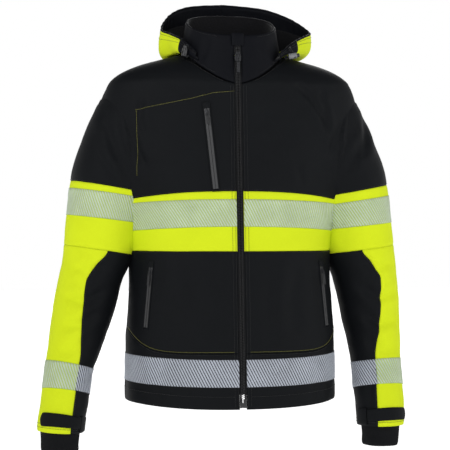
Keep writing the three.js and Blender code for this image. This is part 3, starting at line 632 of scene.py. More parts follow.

# ---------------------------------------------------------------------------------------------------------
# Sleeves: a black cap set into the trunk, a fluorescent band, then a fluorescent outer half and a black inner
# half sewn along two seams. The lower pieces are left loose, with their thickness made real.
# ---------------------------------------------------------------------------------------------------------
SLEEVE_FOLDS = {
    "right": [
        ([(-238, -92), (-239, -149), (-231, -180), (-222, -203), (-207, -236), (-190, -262)], 8, 3.2, 1.8),
        ([(-206, -90), (-204, -136), (-197, -164)], 7, 2.4, 1.2),
        ([(-262, -190), (-240, -226), (-216, -250)], 7, 1.8, 1.0),
        ([(-306, -408), (-276, -420), (-236, -404)], 9, 2.6, 1.6),
        ([(-318, -462), (-284, -476), (-240, -452)], 9, 3.2, 2.0),
        ([(-322, -520), (-292, -516), (-252, -492)], 9, 2.8, 1.8),
        ([(-330, -570), (-296, -560), (-266, -536)], 10, 2.0, 1.2),
        ([(-262, -600), (-286, -640), (-290, -690)], 9, 1.6, 1.0),
    ],
    "left": [
        ([(256, -111), (257, -159), (250, -190), (238, -214)], 8, 3.0, 1.8),
        ([(247, -169), (227, -205), (214, -238)], 8, 3.2, 1.6),
        ([(193, -70), (203, -105), (208, -140)], 6, 2.6, 1.2),
        ([(304, -402), (272, -416), (240, -400)], 9, 2.6, 1.6),
        ([(316, -458), (276, -472), (240, -448)], 9, 3.2, 2.0),
        ([(312, -512), (280, -522), (244, -500)], 9, 2.8, 1.8),
        ([(320, -566), (282, -572), (250, -546)], 10, 2.0, 1.2),
        ([(262, -610), (256, -650), (260, -700)], 9, 1.6, 1.0),
    ],
}


def sleeve(arm, turn, z):
    """The sleeve's cloth: the plain shape, bridged to the trunk at the armhole, with its folds."""
    side = ARMS[arm][0]
    turn, z = np.broadcast_arrays(np.asarray(turn, float), np.asarray(z, float))
    p = sleeve_at(arm, turn, z)
    middle = arm_frame(arm, z)[0]
    n = normals(p, middle)
    apart, other = distance(body_field, p)
    flat = p[..., [0, 2]]
    ahead = np.clip(0.5 - (p - middle)[..., 1] / 40, 0, 1)
    behind = flat + np.array([side * 6, 22])
    lift = ahead * folds(flat, SLEEVE_FOLDS[arm]) + 0.9 * (1 - ahead) * folds(behind, SLEEVE_FOLDS[arm])
    lift = lift + 1.1 * soft_noise(p, 110, 5 + side) + 0.45 * soft_noise(p, 38, 9 + side)
    quiet = np.clip((z + 712) / 40, 0, 1) * np.clip(np.abs(apart) / 14, 0, 1)
    bridge = fillet(apart, n, other, z) * np.clip((z + 420) / 60, 0, 1)
    return p + n * (bridge + lift * quiet)[..., None], apart


inner_edge = through([[-714, -22], [-590, -16], [-534, 0], [-478, 8], [-440, 12], [-405, 0], [-380, -12]])
INNER_BACK_EDGE = -150.0
SLEEVE_TAPE_Z = {"right": -298, "left": -311}
SLEEVE_BAND_TOP = {"right": -262.0, "left": -268.5}
FOREARM_TAPE_Z = -618


def sleeve_grid(arm, low, high, rows, columns, start=0.0, end=360.0):
    """Turns and heights over part of a sleeve. start and end are degrees, or functions of the height."""
    z = np.linspace(low, high, rows)[:, None]
    first = start(z) if callable(start) else start
    last = end(z) if callable(end) else end
    share = np.linspace(0, 1, columns)[None, :]
    return np.radians(first + (last - first) * share), z + 0 * share


def sleeve_piece(name, arm, grid, material, body, stands_for, closed=False, **more):
    side = ARMS[arm][0]
    if closed:
        grid = [g[:, :-1] for g in grid]
    points, apart = sleeve(arm, *grid)
    points, apart = turned(points, side), turned(apart, side)
    keep = apart > -7 if grid[1].max() > -400 else None
    return cloth_piece(name, points, material, body, stands_for, keep=keep, closed=closed, edge_roll=0.9,
                       lining=fleece, **more)


def elbow_blend(made):
    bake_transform(made)


for arm in ("right", "left"):
    seam = SLEEVE_BAND_TOP[arm]
    sleeve_piece(f"sleeve_cap_{arm}", arm, sleeve_grid(arm, seam, CAP_TOP_Z, 46, 121), black_cloth, "jacket",
                 [f"sleeve_{arm}_cap"], closed=True)
    sleeve_piece(f"sleeve_band_{arm}", arm, sleeve_grid(arm, -380, seam, 40, 121), yellow_cloth, "jacket",
                 [f"sleeve_{arm}_band"], closed=True)
    outer = sleeve_grid(arm, -714, -380, 110, 72, inner_edge, 360 + INNER_BACK_EDGE)
    outer = sleeve_piece(f"sleeve_outer_{arm}", arm, outer, yellow_cloth, None,
                         [f"sleeve_{arm}_elbow_outer", f"sleeve_{arm}_forearm_outer"])
    elbow_blend(outer)
    inner = sleeve_grid(arm, -714, -380, 110, 52, INNER_BACK_EDGE, inner_edge)
    inner = sleeve_piece(f"sleeve_inner_{arm}", arm, inner, black_cloth, None,
                         [f"sleeve_{arm}_elbow_inner", f"sleeve_{arm}_forearm_inner"])
    elbow_blend(inner)

# ---------------------------------------------------------------------------------------------------------
# Segmented reflective tape: slanted strips of grey glass-bead film, pressed onto the cloth with gaps that let
# it stretch. The film sits on a thin carrier the colour of the cloth below it.
# ---------------------------------------------------------------------------------------------------------
TAPE_WIDTH = 50.8
SEGMENT_PITCH = 5.2
SEGMENT_SHARE = 0.70
SEGMENT_LEAN = math.tan(math.radians(27))


def film(name, color, roughness, metallic):
    """Glass-bead film: grey, with fine grains that each shine a little differently."""
    made, shader = principled(name, color, roughness, metallic=metallic, specular=0.4)
    tree, _, links = nodes_of(made)
    place = add_node(tree, "ShaderNodeTexCoord").outputs["Object"]
    grains = add_node(tree, "ShaderNodeTexNoise", Scale=900.0, Detail=2.0)
    slow = add_node(tree, "ShaderNodeTexNoise", Scale=26.0, Detail=3.0)
    links.new(place, grains.inputs["Vector"])
    links.new(place, slow.inputs["Vector"])
    half_grains = math_node(tree, "MULTIPLY", grains.outputs["Fac"], 0.5)
    mixed = math_node(tree, "ADD", half_grains, slow.outputs["Fac"])
    ramp = add_node(tree, "ShaderNodeMapRange")
    ramp.inputs["From Min"].default_value = 0.45
    ramp.inputs["From Max"].default_value = 1.05
    ramp.inputs["To Min"].default_value = 0.82
    ramp.inputs["To Max"].default_value = 1.12
    links.new(mixed, ramp.inputs["Value"])
    tint = add_node(tree, "ShaderNodeVectorMath", operation="SCALE")
    tint.inputs[0].default_value = color
    links.new(ramp.outputs["Result"], tint.inputs["Scale"])
    links.new(tint.outputs[0], shader.inputs["Base Color"])
    return made


film_on_yellow = film("reflective_film_light", (0.44, 0.52, 0.39), 0.5, 0.0)
film_on_black = film("reflective_film_grey", (0.38, 0.41, 0.47), 0.5, 0.0)
carrier_yellow = woven("tape_carrier_yellow", (0.36, 0.47, 0.10), 0.8, shade=0.04, bump=0.15)
carrier_black = woven("tape_carrier_black", (0.030, 0.032, 0.036), 0.8, shade=0.1, bump=0.15)


def tape(name, surface, start, end, middle, around, on_yellow, body, stands_for, half=TAPE_WIDTH / 2,
         mirror=1, after=None, closed=False):
    """A tape along surface(u, z) from u start to end. middle(u) is the height of its middle line and around
    is its length. It is a thin carrier with the slanted film segments standing on it."""
    def laid(us, share, lift, thickness, key, material, strips=False, loop=False):
        z = middle(us) + share * half
        points, apart = surface(us, z)
        points, apart = turned(points, mirror), turned(apart, mirror)
        n = np.cross(np.gradient(points, axis=1), np.gradient(points, axis=0))
        n /= np.linalg.norm(n, axis=-1, keepdims=True)
        made = cloth_piece(f"{name}_{key}", points + n * lift, material, None if after else body, stands_for,
                           keep=apart > -5, thickness=thickness, strips=strips, closed=loop)
        if after:
            after(made)
        return made

    columns = int(around / 4)
    us = np.linspace(start, end, columns + (1 if not closed else 0), endpoint=not closed)[None, :]
    share = np.linspace(-1, 1, 14)[:, None]
    laid(us + 0 * share, share + 0 * us, 0.75, 0.9, "carrier", carrier_yellow if on_yellow else carrier_black,
         loop=closed)
    count = int(around / SEGMENT_PITCH)
    lean = 2 * half * SEGMENT_LEAN / around * (end - start)
    step = (end - start) / count
    spare = 0 if closed else math.ceil(abs(lean / step) / 2)
    order = np.arange(-spare, count + spare)
    edges = start + step * (order[:, None] + np.array([0.15, 0.15 + SEGMENT_SHARE])[None, :])
    slant = np.linspace(-0.97, 0.97, 14)[:, None]
    us = edges.reshape(1, -1) - mirror * lean / 2 * slant
    if not closed:
        us = np.clip(us, min(start, end), max(start, end))
    laid(us, slant + 0 * us, 1.0, 0.35, "film", film_on_yellow if on_yellow else film_on_black, strips=True)


def by_length(surface_line, start, end):
    """A map from even steps to turns, so that equal steps cover equal lengths of the line."""
    u = np.linspace(start, end, 241)
    p = surface_line(u)
    run = np.concatenate([[0], np.cumsum(np.linalg.norm(np.diff(p, axis=0), axis=-1))])
    return run[-1], lambda s: np.interp(s, run, u)


def tape_on_trunk(name, middle, first, last, on_yellow, stands_for, side=1):
    length, at = by_length(lambda u: body_at(u, middle(u)), first, last)

    def surface(s, z):
        return trunk(side * at(s), z)

    tape(name, surface, 0, length, lambda s: middle(at(s)), length, on_yellow, "jacket", stands_for,
         mirror=side)


chest_tape_line = seam_line(-312, -7)
hem_tape_line = seam_line(-604, 6)
for name, line, on_yellow in [("chest_tape", chest_tape_line, True), ("hem_tape", hem_tape_line, False)]:
    edge = float(angle_at_x(ZIP_HALF_GAP, -400))
    for arm, side in (("right", -1), ("left", 1)):
        tape_on_trunk(f"{name}_{arm}", line, edge, math.pi / 2, on_yellow, [f"{name}_{arm}"], side)
    tape_on_trunk(f"{name}_back", line, math.pi / 2, 1.5 * math.pi, on_yellow, [f"{name}_back"])

for arm in ("right", "left"):
    side = ARMS[arm][0]
    for key, z, on_yellow, body, start, end in [
        ("tape", SLEEVE_TAPE_Z[arm], True, "jacket", 0.0, 2 * math.pi),
        ("forearm_tape", FOREARM_TAPE_Z, True, f"forearm_{arm}", math.radians(-17), math.radians(210)),
        ("forearm_tape", FOREARM_TAPE_Z, False, f"forearm_{arm}", math.radians(-150), math.radians(-17)),
    ]:
        half_around = float(ARMS[arm][2](z)) * 1.035
        whole = end - start > 6
        shade_name = "light" if on_yellow else "grey"
        tape(f"sleeve_{key}_{arm}_{shade_name}", lambda u, h, arm=arm: sleeve(arm, u, h), start, end,
             lambda u, z=z: z + 0 * u, (end - start) * half_around, on_yellow, body, [f"sleeve_{arm}_{key}"],
             half=24.6, mirror=side, closed=whole)

# ---------------------------------------------------------------------------------------------------------
# Cuffs: a knitted-look storm cuff sewn inside each sleeve's mouth, and a hook-and-loop strap over the hem,
# sewn down at its inner end under a stitched patch.
# ---------------------------------------------------------------------------------------------------------


def storm_cuff(arm):
    side = ARMS[arm][0]
    radius = through([[-753, 33.4], [-747, 34.3], [-735, 34.6], [-718, 36], [-704, 38.6], [-690, 38.9]])
    z = np.linspace(-752.6, -691, 34)[:, None]
    turn = np.linspace(0, 2 * math.pi, 337)[None, :-1]
    turn, z = np.broadcast_arrays(turn, z)
    middle = arm_frame(arm, z)[0]
    ribs = 0.32 * np.cos(84 * turn) * np.clip((-712 - z) / 12, 0, 1)
    edge = -1.0 * np.exp(-(((z + 753) / 2.2) ** 2))
    puckers = 0.7 * np.sin(5 * turn + z / 9) * np.clip((-720 - z) / 20, 0, 1)
    r = radius(z) + ribs + edge + puckers
    points = middle + np.stack([side * r * np.sin(turn), -r * sleeve_round(-700) * np.cos(turn), 0 * r], -1)
    cloth_piece(f"storm_cuff_{arm}", turned(points, side), rib_cloth, f"forearm_{arm}",
                [f"sleeve_{arm}_storm_cuff"], thickness=2.2, closed=True)


rib_cloth = woven("black_rib", (0.0065, 0.0068, 0.0078), 0.9, shade=0.3, thread=900.0, sheen=0.03, bump=0.6)
hook_cloth = woven("hook_fabric", (0.0075, 0.0076, 0.0085), 0.75, shade=0.6, thread=2200.0, bump=0.9)


def cuff_tab(arm):
    """The strap: flat along most of its length, rounded at its free end, over a wider patch at its root."""
    side = ARMS[arm][0]
    share = np.linspace(0, 1, 70)[None, :]
    up = np.linspace(-1, 1, 15)[:, None]
    reach = np.minimum(1, np.sqrt(np.clip(1 - np.clip((share - 0.93) / 0.07, 0, 1) ** 2, 0.02, 1)))
    turn = np.radians(-46 + 107 * share + 0 * up)
    z = -695.5 + 10.2 * up * reach + 1.5 * np.sin(share * 3.1)
    p = sleeve_at(arm, turn, z)
    n = normals(p, arm_frame(arm, z)[0])
    lift = 3.1 + 0.6 * np.sin(7 * share) * share - 0.8 * np.abs(up) ** 8
    points = turned(p + n * lift[..., None], side)
    cloth_piece(f"cuff_strap_{arm}", points, black_cloth, f"cuff_tab_{arm}", [f"sleeve_{arm}_cuff_tab"],
                thickness=2.0, lining=hook_cloth)
    turn = np.radians(np.linspace(-78, -48.5, 26)[None, :] + 0 * up)
    z = -697 + 15.0 * up + 0 * turn
    p = sleeve_at(arm, turn, z)
    n = normals(p, arm_frame(arm, z)[0])
    points = turned(p + n * (2.6 - 1.2 * np.abs(up) ** 10)[..., None], side)
    cloth_piece(f"cuff_patch_{arm}", points, black_cloth, f"forearm_{arm}", thickness=1.8)
    loops = np.radians(np.linspace(-30, 58, 50)[None, :] + 0 * up)
    z = -695.5 + 8.6 * up + 0 * loops
    p = sleeve_at(arm, loops, z)
    n = normals(p, arm_frame(arm, z)[0])
    cloth_piece(f"cuff_loop_field_{arm}", turned(p + n * 0.75, side), hook_cloth, f"forearm_{arm}",
                thickness=0.6)


for arm in ("right", "left"):
    storm_cuff(arm)
    cuff_tab(arm)

# ---------------------------------------------------------------------------------------------------------
# Collar: two layers of navy-black softshell standing round the neck, seamed to the trunk, with a soft rolled
# top edge. A folded chin guard wraps the top of the zip, and a tape loop inside the back carries the garment.
# ---------------------------------------------------------------------------------------------------------
def collar_at(angle, v):
    base = body_at(angle, neck_z(angle))
    depth = np.where(base[..., 1] < AXIS_Y, 78 / 86, 55 / 62)
    share = np.clip((base[..., 1] - AXIS_Y + 86) / (86 + 62), 0, 1)
    top = np.stack([base[..., 0] * 84 / 95, AXIS_Y + (base[..., 1] - AXIS_Y) * depth, 18 + 52 * share], -1)
    return base + (top - base) * np.asarray(v)[..., None]


def collar_cloth(angle, v, lift=0.0):
    p = collar_at(angle, v)
    n = normals(p)
    at_zip = np.clip((np.abs(np.sin(angle / 2)) - 0.03) * 8, 0, 1)
    soft = 0.9 * soft_noise(p, 60, 21) + 0.5 * np.sin(9 * angle + 2 * v) * v
    creases = folds(p[..., [0, 2]], [
        ([(-52, 22), (-58, -12), (-74, -44)], 6, 1.6, 0.9),
        ([(40, 14), (46, -16), (60, -46)], 6, 1.4, 0.8),
        ([(-18, 16), (-24, -20), (-20, -56)], 6, 0.8, 0.4),
    ]) * (p[..., 1] < AXIS_Y)
    uneven = (soft + creases) * at_zip * np.clip(v * 4, 0, 1) * np.clip((1.05 - v) * 6, 0.3, 1)
    return p + n * (lift + uneven)[..., None]


def collar_columns(v, columns, x=6.9):
    edge = angle_at_x(x / (1 + (84 / 95 - 1) * v), -73.0)
    return edge + (2 * math.pi - 2 * edge) * np.linspace(0, 1, columns)[None, :]


v = np.linspace(0.004, 1, 30)[:, None]
angle = collar_columns(v, 240)
cloth_piece("collar_shell", collar_cloth(angle, v + 0 * angle), navy_cloth, "jacket", ["collar"],
            edge_roll=1.1, lining=fleece)

along = np.array([0.0, 0.0877, 0.99615])
outward = np.array([0.0, -0.99615, 0.0877])
MAIN_ZIP = np.stack([[1.0, 0, 0], outward, along], -1)


def ridge(z):
    return np.array([0.0, AXIS_Y - 78 - 0.088 * (18 - z), z])


def blocks(name, frame_axes, origin, parts, material, body, stands_for=(), bevel=0.5, segments=3):
    """Rounded blocks joined as one piece. A part is its size and centre across, out and along, then its own
    bevel if it has one. frame_axes has those three directions as its columns."""
    mesh = bmesh.new()
    for size, middle, *own in parts:
        part = bmesh.new()
        bmesh.ops.create_cube(part, size=1)
        for vertex in part.verts:
            vertex.co = Vector([vertex.co[i] * size[i] for i in range(3)])
        radius = min(own[0] if own else bevel, 0.45 * min(size))
        bmesh.ops.bevel(part, geom=list(part.edges), offset=radius, segments=segments, affect="EDGES",
                        profile=0.5)
        for vertex in part.verts:
            local = np.array(vertex.co) + np.array(middle)
            vertex.co = Vector((frame_axes @ local + origin) / 1000)
        temporary = bpy.data.meshes.new("part")
        part.to_mesh(temporary)
        part.free()
        mesh.from_mesh(temporary)
        bpy.data.meshes.remove(temporary)
    if np.linalg.det(frame_axes) < 0:
        bmesh.ops.reverse_faces(mesh, faces=mesh.faces)
    return from_bmesh(name, mesh, material, body, stands_for)


def from_bmesh(name, mesh, material, body, stands_for=()):
    data = bpy.data.meshes.new(name)
    mesh.to_mesh(data)
    mesh.free()
    data.materials.append(material)
    data.polygons.foreach_set("use_smooth", np.ones(len(data.polygons), bool))
    data.set_sharp_from_angle(angle=math.radians(38))
    made = bpy.data.objects.new(name, data)
    scene.collection.objects.link(made)
    if body:
        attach(made, body)
    if stands_for:
        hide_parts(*stands_for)
    return made


across = np.linspace(-1, 1, 21)[None, :]
up = np.linspace(-1, 1, 21)[:, None]
corner = 1 - 0.06 * np.clip(np.abs(up) - 0.7, 0, 1) ** 2 * 10
guard = ridge(18) - 8.5 * along + (across * 11.6 * corner)[..., None] * MAIN_ZIP[:, 0]
guard = guard + (up * 12.2)[..., None] * along
bulge = 2.3 - 1.3 * np.abs(across) ** 3 - 0.6 * np.abs(up) ** 6 + 0.35 * np.sin(3 * up + 1)
guard = guard + bulge[..., None] * outward
cloth_piece("chin_guard_fold", guard, navy_cloth, "jacket", ["chin_guard"], thickness=1.7, edge_roll=0.5)

loop_turn = np.linspace(0, math.pi / 2, 13)
left_end = [(-30 + 16 * (1 - math.cos(t)), -16 + 16 * math.sin(t)) for t in loop_turn]
profile = left_end + [(x, 0) for x in np.linspace(-12, 12, 9)] + [(-x, z) for x, z in reversed(left_end)]
profile = np.array(profile)
wide = np.linspace(-3.5, 3.5, 7)[:, None]
ribbon_x = profile[None, :, 0] + 0 * wide
ribbon = np.stack([ribbon_x, wide + 0 * ribbon_x, profile[None, :, 1] + 0 * wide], -1)
loop_tape = woven("loop_tape", (0.006, 0.006, 0.007), 0.8, shade=0.4, thread=1500.0, bump=0.8)
cloth_piece("hanging_loop", ribbon, loop_tape, "jacket", ["hanger_loop"], thickness=1.5)

# ---------------------------------------------------------------------------------------------------------
# Small repeated things: Geometry Nodes set one item at each step along a line, turned with the line.
# ---------------------------------------------------------------------------------------------------------
repeat_tree = bpy.data.node_groups.new("repeat_along", "GeometryNodeTree")
for label, kind in [("Line", "NodeSocketGeometry"), ("Pitch", "NodeSocketFloat"),
                    ("Item", "NodeSocketObject"),
                    ("Outward", "NodeSocketVector"), ("Material", "NodeSocketMaterial")]:
    repeat_tree.interface.new_socket(label, in_out="INPUT", socket_type=kind)
repeat_tree.interface.new_socket("Pieces", in_out="OUTPUT", socket_type="NodeSocketGeometry")


def build_repeat_tree():
    tree = repeat_tree
    given, result = tree.nodes.new("NodeGroupInput"), tree.nodes.new("NodeGroupOutput")
    curve = tree.nodes.new("GeometryNodeMeshToCurve")
    steps = tree.nodes.new("GeometryNodeResampleCurve")
    steps.mode = "LENGTH"
    item = tree.nodes.new("GeometryNodeObjectInfo")
    tangent = tree.nodes.new("GeometryNodeInputTangent")
    along_line = tree.nodes.new("FunctionNodeAlignRotationToVector")
    along_line.axis = "Z"
    facing_out = tree.nodes.new("FunctionNodeAlignRotationToVector")
    facing_out.axis = "Y"
    facing_out.pivot_axis = "Z"
    place = tree.nodes.new("GeometryNodeInstanceOnPoints")
    real = tree.nodes.new("GeometryNodeRealizeInstances")
    paint = tree.nodes.new("GeometryNodeSetMaterial")
    for source, target in [
        (given.outputs["Line"], curve.inputs["Mesh"]),
        (curve.outputs["Curve"], steps.inputs["Curve"]),
        (given.outputs["Pitch"], steps.inputs["Length"]),
        (given.outputs["Item"], item.inputs["Object"]),
        (tangent.outputs["Tangent"], along_line.inputs["Vector"]),
        (along_line.outputs["Rotation"], facing_out.inputs["Rotation"]),
        (given.outputs["Outward"], facing_out.inputs["Vector"]),
        (steps.outputs["Curve"], place.inputs["Points"]),
        (item.outputs["Geometry"], place.inputs["Instance"]),
        (facing_out.outputs["Rotation"], place.inputs["Rotation"]),
        (place.outputs["Instances"], real.inputs["Geometry"]),
        (real.outputs["Geometry"], paint.inputs["Geometry"]),
        (given.outputs["Material"], paint.inputs["Material"]),
        (paint.outputs["Geometry"], result.inputs["Pieces"]),
    ]:
        tree.links.new(source, target)


build_repeat_tree()


def repeat_along(name, lines, pitch, item, material, body, stands_for=(), outward=(0, -1, 0)):
    """One piece made of an item set at each step along one or more lines of points, in millimetres."""
    mesh = bpy.data.meshes.new(name)
    points, edges = [], []
    for line in lines:
        start = len(points)
        points += (np.array(line) / 1000).tolist()
        edges += [(start + i, start + i + 1) for i in range(len(line) - 1)]
    mesh.from_pydata(points, edges, [])
    made = bpy.data.objects.new(name, mesh)
    scene.collection.objects.link(made)
    row = made.modifiers.new("repeat", "NODES")
    row.node_group = repeat_tree
    values = {"Pitch": pitch / 1000, "Item": item, "Outward": outward, "Material": material}
    for socket in repeat_tree.interface.items_tree:
        if socket.name in values:
            row[socket.identifier] = values[socket.name]
    made.data = bpy.data.meshes.new_from_object(made.evaluated_get(bpy.context.evaluated_depsgraph_get()))
    made.modifiers.clear()
    made.data.polygons.foreach_set("use_smooth", np.ones(len(made.data.polygons), bool))
    if body:
        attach(made, body)
    if stands_for:
        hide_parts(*stands_for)
    return made


def loose_item(name, build):
    mesh = bmesh.new()
    build(mesh)
    data = bpy.data.meshes.new(name)
    mesh.to_mesh(data)
    mesh.free()
    made = bpy.data.objects.new(name, data)
    scene.collection.objects.link(made)
    return made


def lathe(mesh, rings, sides, frame_axes=np.eye(3), origin=np.zeros(3)):
    """A turned body from (height, radius) rings, closed at both ends, added to a bmesh in metres."""
    turns = np.linspace(0, 2 * math.pi, sides + 1)[:-1]
    rows = []
    for height, radius in rings:
        rows.append([
            mesh.verts.new(Vector((frame_axes @ np.array([radius * math.cos(t), radius * math.sin(t), height])
                                   + origin) / 1000))
            for t in turns
        ])
    for low, high in zip(rows, rows[1:]):
        for i in range(sides):
            mesh.faces.new((low[i], low[(i + 1) % sides], high[(i + 1) % sides], high[i]))
    mesh.faces.new(list(reversed(rows[0])))
    mesh.faces.new(rows[-1])


STITCH_PROFILE = [(-1.2, 0.14), (-0.8, 0.3), (0.8, 0.3), (1.2, 0.14)]
stitch = loose_item("stitch", lambda mesh: lathe(mesh, STITCH_PROFILE, 6))

# ---------------------------------------------------------------------------------------------------------
# Main zip: moulded black plastic teeth on two woven tapes, a square box and pin at the bottom, and a dark
# metal slider whose long pull hangs from a bridge.
# ---------------------------------------------------------------------------------------------------------
zip_black, zip_shader = principled("zip_black", (0.013, 0.0135, 0.015), 0.42, specular=0.5)
zip_grey, _ = principled("zip_grey", (0.040, 0.041, 0.043), 0.55, specular=0.3)
gunmetal, gunmetal_shader = principled("gunmetal", (0.030, 0.031, 0.034), 0.34, metallic=0.8)
pull_rubber, _ = principled("pull_rubber", (0.014, 0.0145, 0.016), 0.6, specular=0.35)
zip_tape_cloth = woven("zip_tape_cloth", (0.0065, 0.0067, 0.0075), 0.8, shade=0.5, thread=3200.0, bump=0.9)


def scuffed(material, shader, scale, low, high):
    """Fine wear: the roughness changes over the surface, as handled plastic and metal do."""
    tree, _, links = nodes_of(material)
    place = add_node(tree, "ShaderNodeTexCoord").outputs["Object"]
    noise = add_node(tree, "ShaderNodeTexNoise", Scale=scale, Detail=4.0, Roughness=0.65)
    ramp = add_node(tree, "ShaderNodeMapRange")
    ramp.inputs["From Min"].default_value = 0.3
    ramp.inputs["From Max"].default_value = 0.7
    ramp.inputs["To Min"].default_value = low
    ramp.inputs["To Max"].default_value = high
    links.new(place, noise.inputs["Vector"])
    links.new(noise.outputs["Fac"], ramp.inputs["Value"])
    links.new(ramp.outputs["Result"], shader.inputs["Roughness"])


scuffed(zip_black, zip_shader, 300.0, 0.32, 0.55)
scuffed(gunmetal, gunmetal_shader, 500.0, 0.22, 0.5)

TEETH_PITCH = 2.9
ZIP_TOP, ZIP_BOTTOM = ridge(14.0), ridge(-666.0)
TEETH_DEPTH = -1.5


def tooth(mesh):
    """A tooth: a square back clamped on the tape, a narrow neck and a rounded head."""
    for size, middle in [((1.5, 2.5, 1.25), (0.95, 0, 0)), ((1.3, 2.1, 1.0), (-0.35, 0, 0)),
                         ((0.7, 2.5, 1.6), (-0.95, 0, 0))]:
        made = bmesh.ops.create_cube(mesh, size=1)["verts"]
        for vertex in made:
            vertex.co = Vector([(vertex.co[i] * size[i] + middle[i]) / 1000 for i in range(3)])


for name, side in (("right", -1), ("left", 1)):
    row = f"main_zip_{name}"
    grid_x = side * np.linspace(2.6, 6.15, 5)[None, :]
    grid_up = np.linspace(0.0, 1.0, 171)[:, None]
    sway = 0.12 * np.sin(grid_up * 40 + side)
    points = ZIP_BOTTOM + grid_up[..., None] * (ZIP_TOP - ZIP_BOTTOM) + grid_x[..., None] * MAIN_ZIP[:, 0]
    points = points + (TEETH_DEPTH + 0.5 + sway)[..., None] * outward
    cloth_piece(f"{row}_tape", turned(points, side), zip_tape_cloth, "jacket", [row], thickness=1.0)
    offset = TEETH_PITCH * (0.5 if side < 0 else 1.0)
    start = ZIP_BOTTOM + (16.5 + offset) * along + side * 1.95 * MAIN_ZIP[:, 0] + TEETH_DEPTH * outward
    end = ZIP_TOP - 1.5 * along + side * 1.95 * MAIN_ZIP[:, 0] + TEETH_DEPTH * outward
    # The item's Y is turned outward, so its X points to the wearer's right. A mirrored copy serves the other
    # row.
    item = loose_item(f"tooth_{name}", tooth)
    if side > 0:
        for vertex in item.data.vertices:
            vertex.co.x = -vertex.co.x
        item.data.flip_normals()
    repeat_along(f"{row}_teeth", [[start, end]], TEETH_PITCH, item, zip_black, "jacket", [row],
                 outward=outward)
    bpy.data.objects.remove(item)

blocks("main_zip_box", MAIN_ZIP, ZIP_BOTTOM, [
    ((5.2, 4.2, 16.0), (2.9, TEETH_DEPTH, 8.2), 0.8),
    ((11.0, 1.0, 9.0), (0, TEETH_DEPTH + 1.7, 4.8), 0.45),
    ((11.0, 1.0, 9.0), (0, TEETH_DEPTH - 1.7, 4.8), 0.45),
    ((2.2, 0.6, 6.5), (0, TEETH_DEPTH + 2.3, 5.2), 0.3),
], zip_black, "jacket", ["main_zip_left"])
blocks("main_zip_pin", MAIN_ZIP, ZIP_BOTTOM, [((2.4, 2.2, 15.0), (-2.6, TEETH_DEPTH, 9.0), 0.7)], zip_black,
       "jacket", ["main_zip_right"])
blocks("main_zip_stops", MAIN_ZIP, ZIP_TOP, [
    ((2.3, 2.8, 2.6), (side * 1.95, TEETH_DEPTH, -1.0), 0.6) for side in (-1, 1)
], zip_black, "jacket")

slider_origin = ridge(-22.0)
reach = 1.3 + 0.35
blocks("main_slider_body", MAIN_ZIP, slider_origin, [
    ((11.2, 1.4, 13.0), (0, TEETH_DEPTH + reach + 0.7, -2.5), 0.65),
    ((8.2, 1.4, 8.0), (0, TEETH_DEPTH + reach + 0.7, 5.2), 0.65),
    ((11.2, 1.4, 13.0), (0, TEETH_DEPTH - reach - 0.7, -2.5), 0.65),
    ((8.2, 1.4, 8.0), (0, TEETH_DEPTH - reach - 0.7, 5.2), 0.65),
    ((0.8, 2 * reach + 1.2, 5.0), (0, TEETH_DEPTH, 6.2), 0.3),
    ((0.9, 1.0, 11.0), (-5.1, TEETH_DEPTH + reach - 0.2, -3.0), 0.3),
    ((0.9, 1.0, 11.0), (5.1, TEETH_DEPTH + reach - 0.2, -3.0), 0.3),
    ((2.6, 1.6, 1.8), (0, TEETH_DEPTH + reach + 2.0, 4.6), 0.5),
    ((2.6, 1.6, 1.8), (0, TEETH_DEPTH + reach + 2.0, -3.6), 0.5),
    ((2.6, 0.9, 10.0), (0, TEETH_DEPTH + reach + 3.0, 0.5), 0.4),
], gunmetal, "main_slider", ["main_slider"])
pull_level = TEETH_DEPTH + 1.3 + 0.3 + 1.5 + 1.8 + 0.3 + 1.0
blocks("main_pull", MAIN_ZIP, ridge(-24.0), [
    ((5.4, 1.1, 2.2), (0, pull_level, -1.4), 0.5),
    ((1.3, 1.1, 9.0), (-2.1, pull_level, -5.5), 0.5),
    ((1.3, 1.1, 9.0), (2.1, pull_level, -5.5), 0.5),
    ((5.6, 1.6, 5.0), (0, pull_level, -11.5), 0.6),
    ((5.0, 1.3, 15.0), (0, pull_level, -20.5), 0.6),
    ((5.8, 1.8, 3.4), (0, pull_level, -27.6), 0.8),
    ((3.0, 1.7, 10.0), (0, pull_level, -20.0), 0.5),
], gunmetal, "main_puller", ["main_puller"])

# ---------------------------------------------------------------------------------------------------------
# Pocket zips: coated reversed coils. Two coated lips meet over the coil in a welt of cloth, under a stitched
# garage at the top. Each has a small metal slider and a moulded pull.
# ---------------------------------------------------------------------------------------------------------
def unit(vector):
    vector = np.array(vector, float)
    return vector / np.linalg.norm(vector)


def on_front(x, z, lift):
    h = 0.5
    p, px, pz = (body_at(angle_at_x(a, b), b) for a, b in ((x, z), (x + h, z), (x, z + h)))
    return p + unit(np.cross(px - p, pz - p)) * lift


